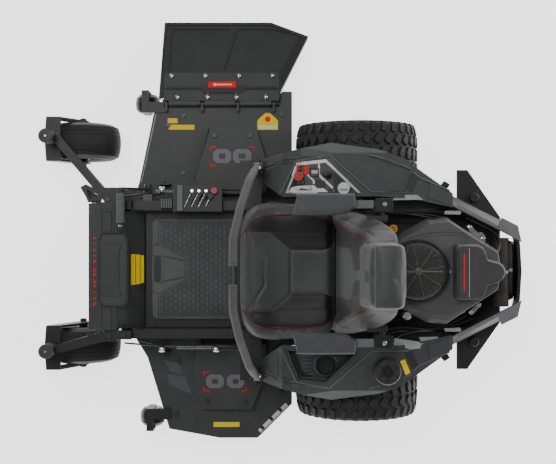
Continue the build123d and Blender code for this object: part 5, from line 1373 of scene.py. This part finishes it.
# %% Height selector, pedal and linkage
for k in range(4):
    x = -732 + k * 30
    rod(f"height_gate_line_{k + 1}", [(x - 12, 268, 431), (x + 14, 322, 431)], 1.6, CHROME, "chassis",
        smooth=False)
    lathe(f"height_gate_hole_{k + 1}", [(0, 0), (6, 0), (6, 1.2), (0, 1.2)], (x + 20, 336, 430), "z", CHROME,
          "chassis", 20)
plate("right_arm_gusset_fill", [(-1182, 352), (-1104, 314), (-1102, 288), (-1158, 288)], 404, 410,
      POWDER_BLACK, "chassis", 0.6)
backing = [(-318, -330), (-318, -352), (-268, -456), (-236, -456), (-286, -330)]
plate("left_tray_backing", backing, 528, 531, BLACK_PLASTIC, "chassis", 0.4)
plate("height_gate_cap", [(-776, 250), (-750, 250), (-750, 360), (-776, 360)], 430, 440, GREY_PLASTIC,
      "chassis", 2.0)
lathe("height_gate_disc", [(0, 0), (16, 0), (16, 5), (12, 8), (0, 8)], (-633, 314, 430), "z", BLACK_PLASTIC,
      "chassis", 32)
for k in range(5):
    x = -842 + k * 10
    plate(f"fuse_box_rib_{k + 1}", [(x, 264), (x + 5, 264), (x + 5, 301), (x, 301)], 436, 439, GREY_PLASTIC,
          "chassis", 0.8)
for k in range(13):
    y = 204 + k * 9.6
    lathe(f"pedal_sleeve_ring_{k + 1}", [(16.2, -4.2), (17.6, -3.6), (17.6, 3.6), (16.2, 4.2)],
          (-1004, y, 500), "y", GREY_PLASTIC, "lift_pedal", 32)
lathe("pedal_tip", [(0, -8), (8, -8), (10, 0), (0, 0)], (-1004, 190, 500), "y", CHROME, "lift_pedal", 24)
for name, side in SIDES:
    rod(f"{name}_lift_rod", [(-1000, side * 312, 420), (-860, side * 330, 372), (-700, side * 330, 372),
                             (-560, side * 330, 380)], 4, TURNED_STEEL_DARK, "chassis", smooth=False)
    rod(f"{name}_brake_cable", [(-940, side * 306, 380), (-760, side * 350, 350), (-600, side * 342, 372),
                                (-470, side * 340, 420)], 4, CABLE, "chassis")
    start = -870 if side > 0 else -780
    turns = [(start + 0.8 * k, side * 333 + 9 * math.cos(k * 0.7), 384 + 9 * math.sin(k * 0.7))
             for k in range(100 if side > 0 else 200)]
    rod(f"{name}_lift_spring", turns, 1.6, TURNED_STEEL, "chassis")
    for k, x in enumerate((-845, -612)):
        lathe(f"{name}_lift_joint_{k + 1}", [(0, -12), (12, -12), (14, -8), (14, 8), (12, 12), (0, 12)],
              (x, side * 343, 378), "x", CHROME, "chassis", 24)
print("height gate, pedal and lift linkage done")

# %% [markdown]
# The lap bars end in closed foam grips. Each bar's block and each armrest's hinge shows one bolt head, and
# each caster's stem ends in a dust cap.

# %% Lap bars, armrest hinges and caster caps
for name, side in SIDES:
    low, high = mm(f"{name}_lever")
    tip_y = low.y if side > 0 else high.y
    grip_end = [(0, 0), (16.5, 0), (16.5, side * 8), (15, side * 10), (0, side * 10)]
    lathe(f"{name}_grip_end", grip_end, (-513, tip_y, 950), "y", FOAM, f"{name}_bar", 36)
for name, side in SIDES:
    base_low, base_high = mm(f"{name}_lever_base")
    inner_y = base_low.y + 9 if side > 0 else base_high.y - 9
    lathe(f"{name}_lever_base_bolt", BOLT_HEAD, ((base_low.x + base_high.x) / 2 + 8, inner_y,
                                                 base_high.z - 0.5), "z", CHROME, f"{name}_bar_base", 20)
    fork = [(30, side * 238), (98, side * 238), (98, side * 291), (30, side * 291)]
    plate(f"{name}_armrest_hinge_plate", fork, 797, 802, BLACK_PLASTIC, f"{name}_arm", 2.0)
    lathe(f"{name}_armrest_hinge_bolt", [(0, 802), (9, 802), (9, 806), (6, 808), (0, 808)],
          (66, side * 268, 0), "z", ZINC, f"{name}_arm", 24)
for name in ("right", "left"):
    rim_low, rim_high = mm(f"{name}_caster_rim")
    y = (rim_low.y + rim_high.y) / 2
    lathe(f"{name}_caster_cap", [(0, 0), (31, 0), (31, 6), (26, 10), (12, 11), (12, 9), (0, 9)],
          (-1318, y, 492.3), "z", POWDER_CHARCOAL, "chassis", 40)
    lathe(f"{name}_caster_cap_bolt", [(0, 0), (7, 0), (7, 4), (4, 6), (0, 6)], (-1318, y, 501.5), "z",
          TURNED_STEEL, "chassis", 20)
# A black rod along the join of cushion and backrest: painted shade in the crease between them.
rod("seat_crease_painted_shade", [(-118, -214, 572), (-118, 214, 572)], 14, BLACK_PLASTIC, "seat", smooth=False)
print("all details done")
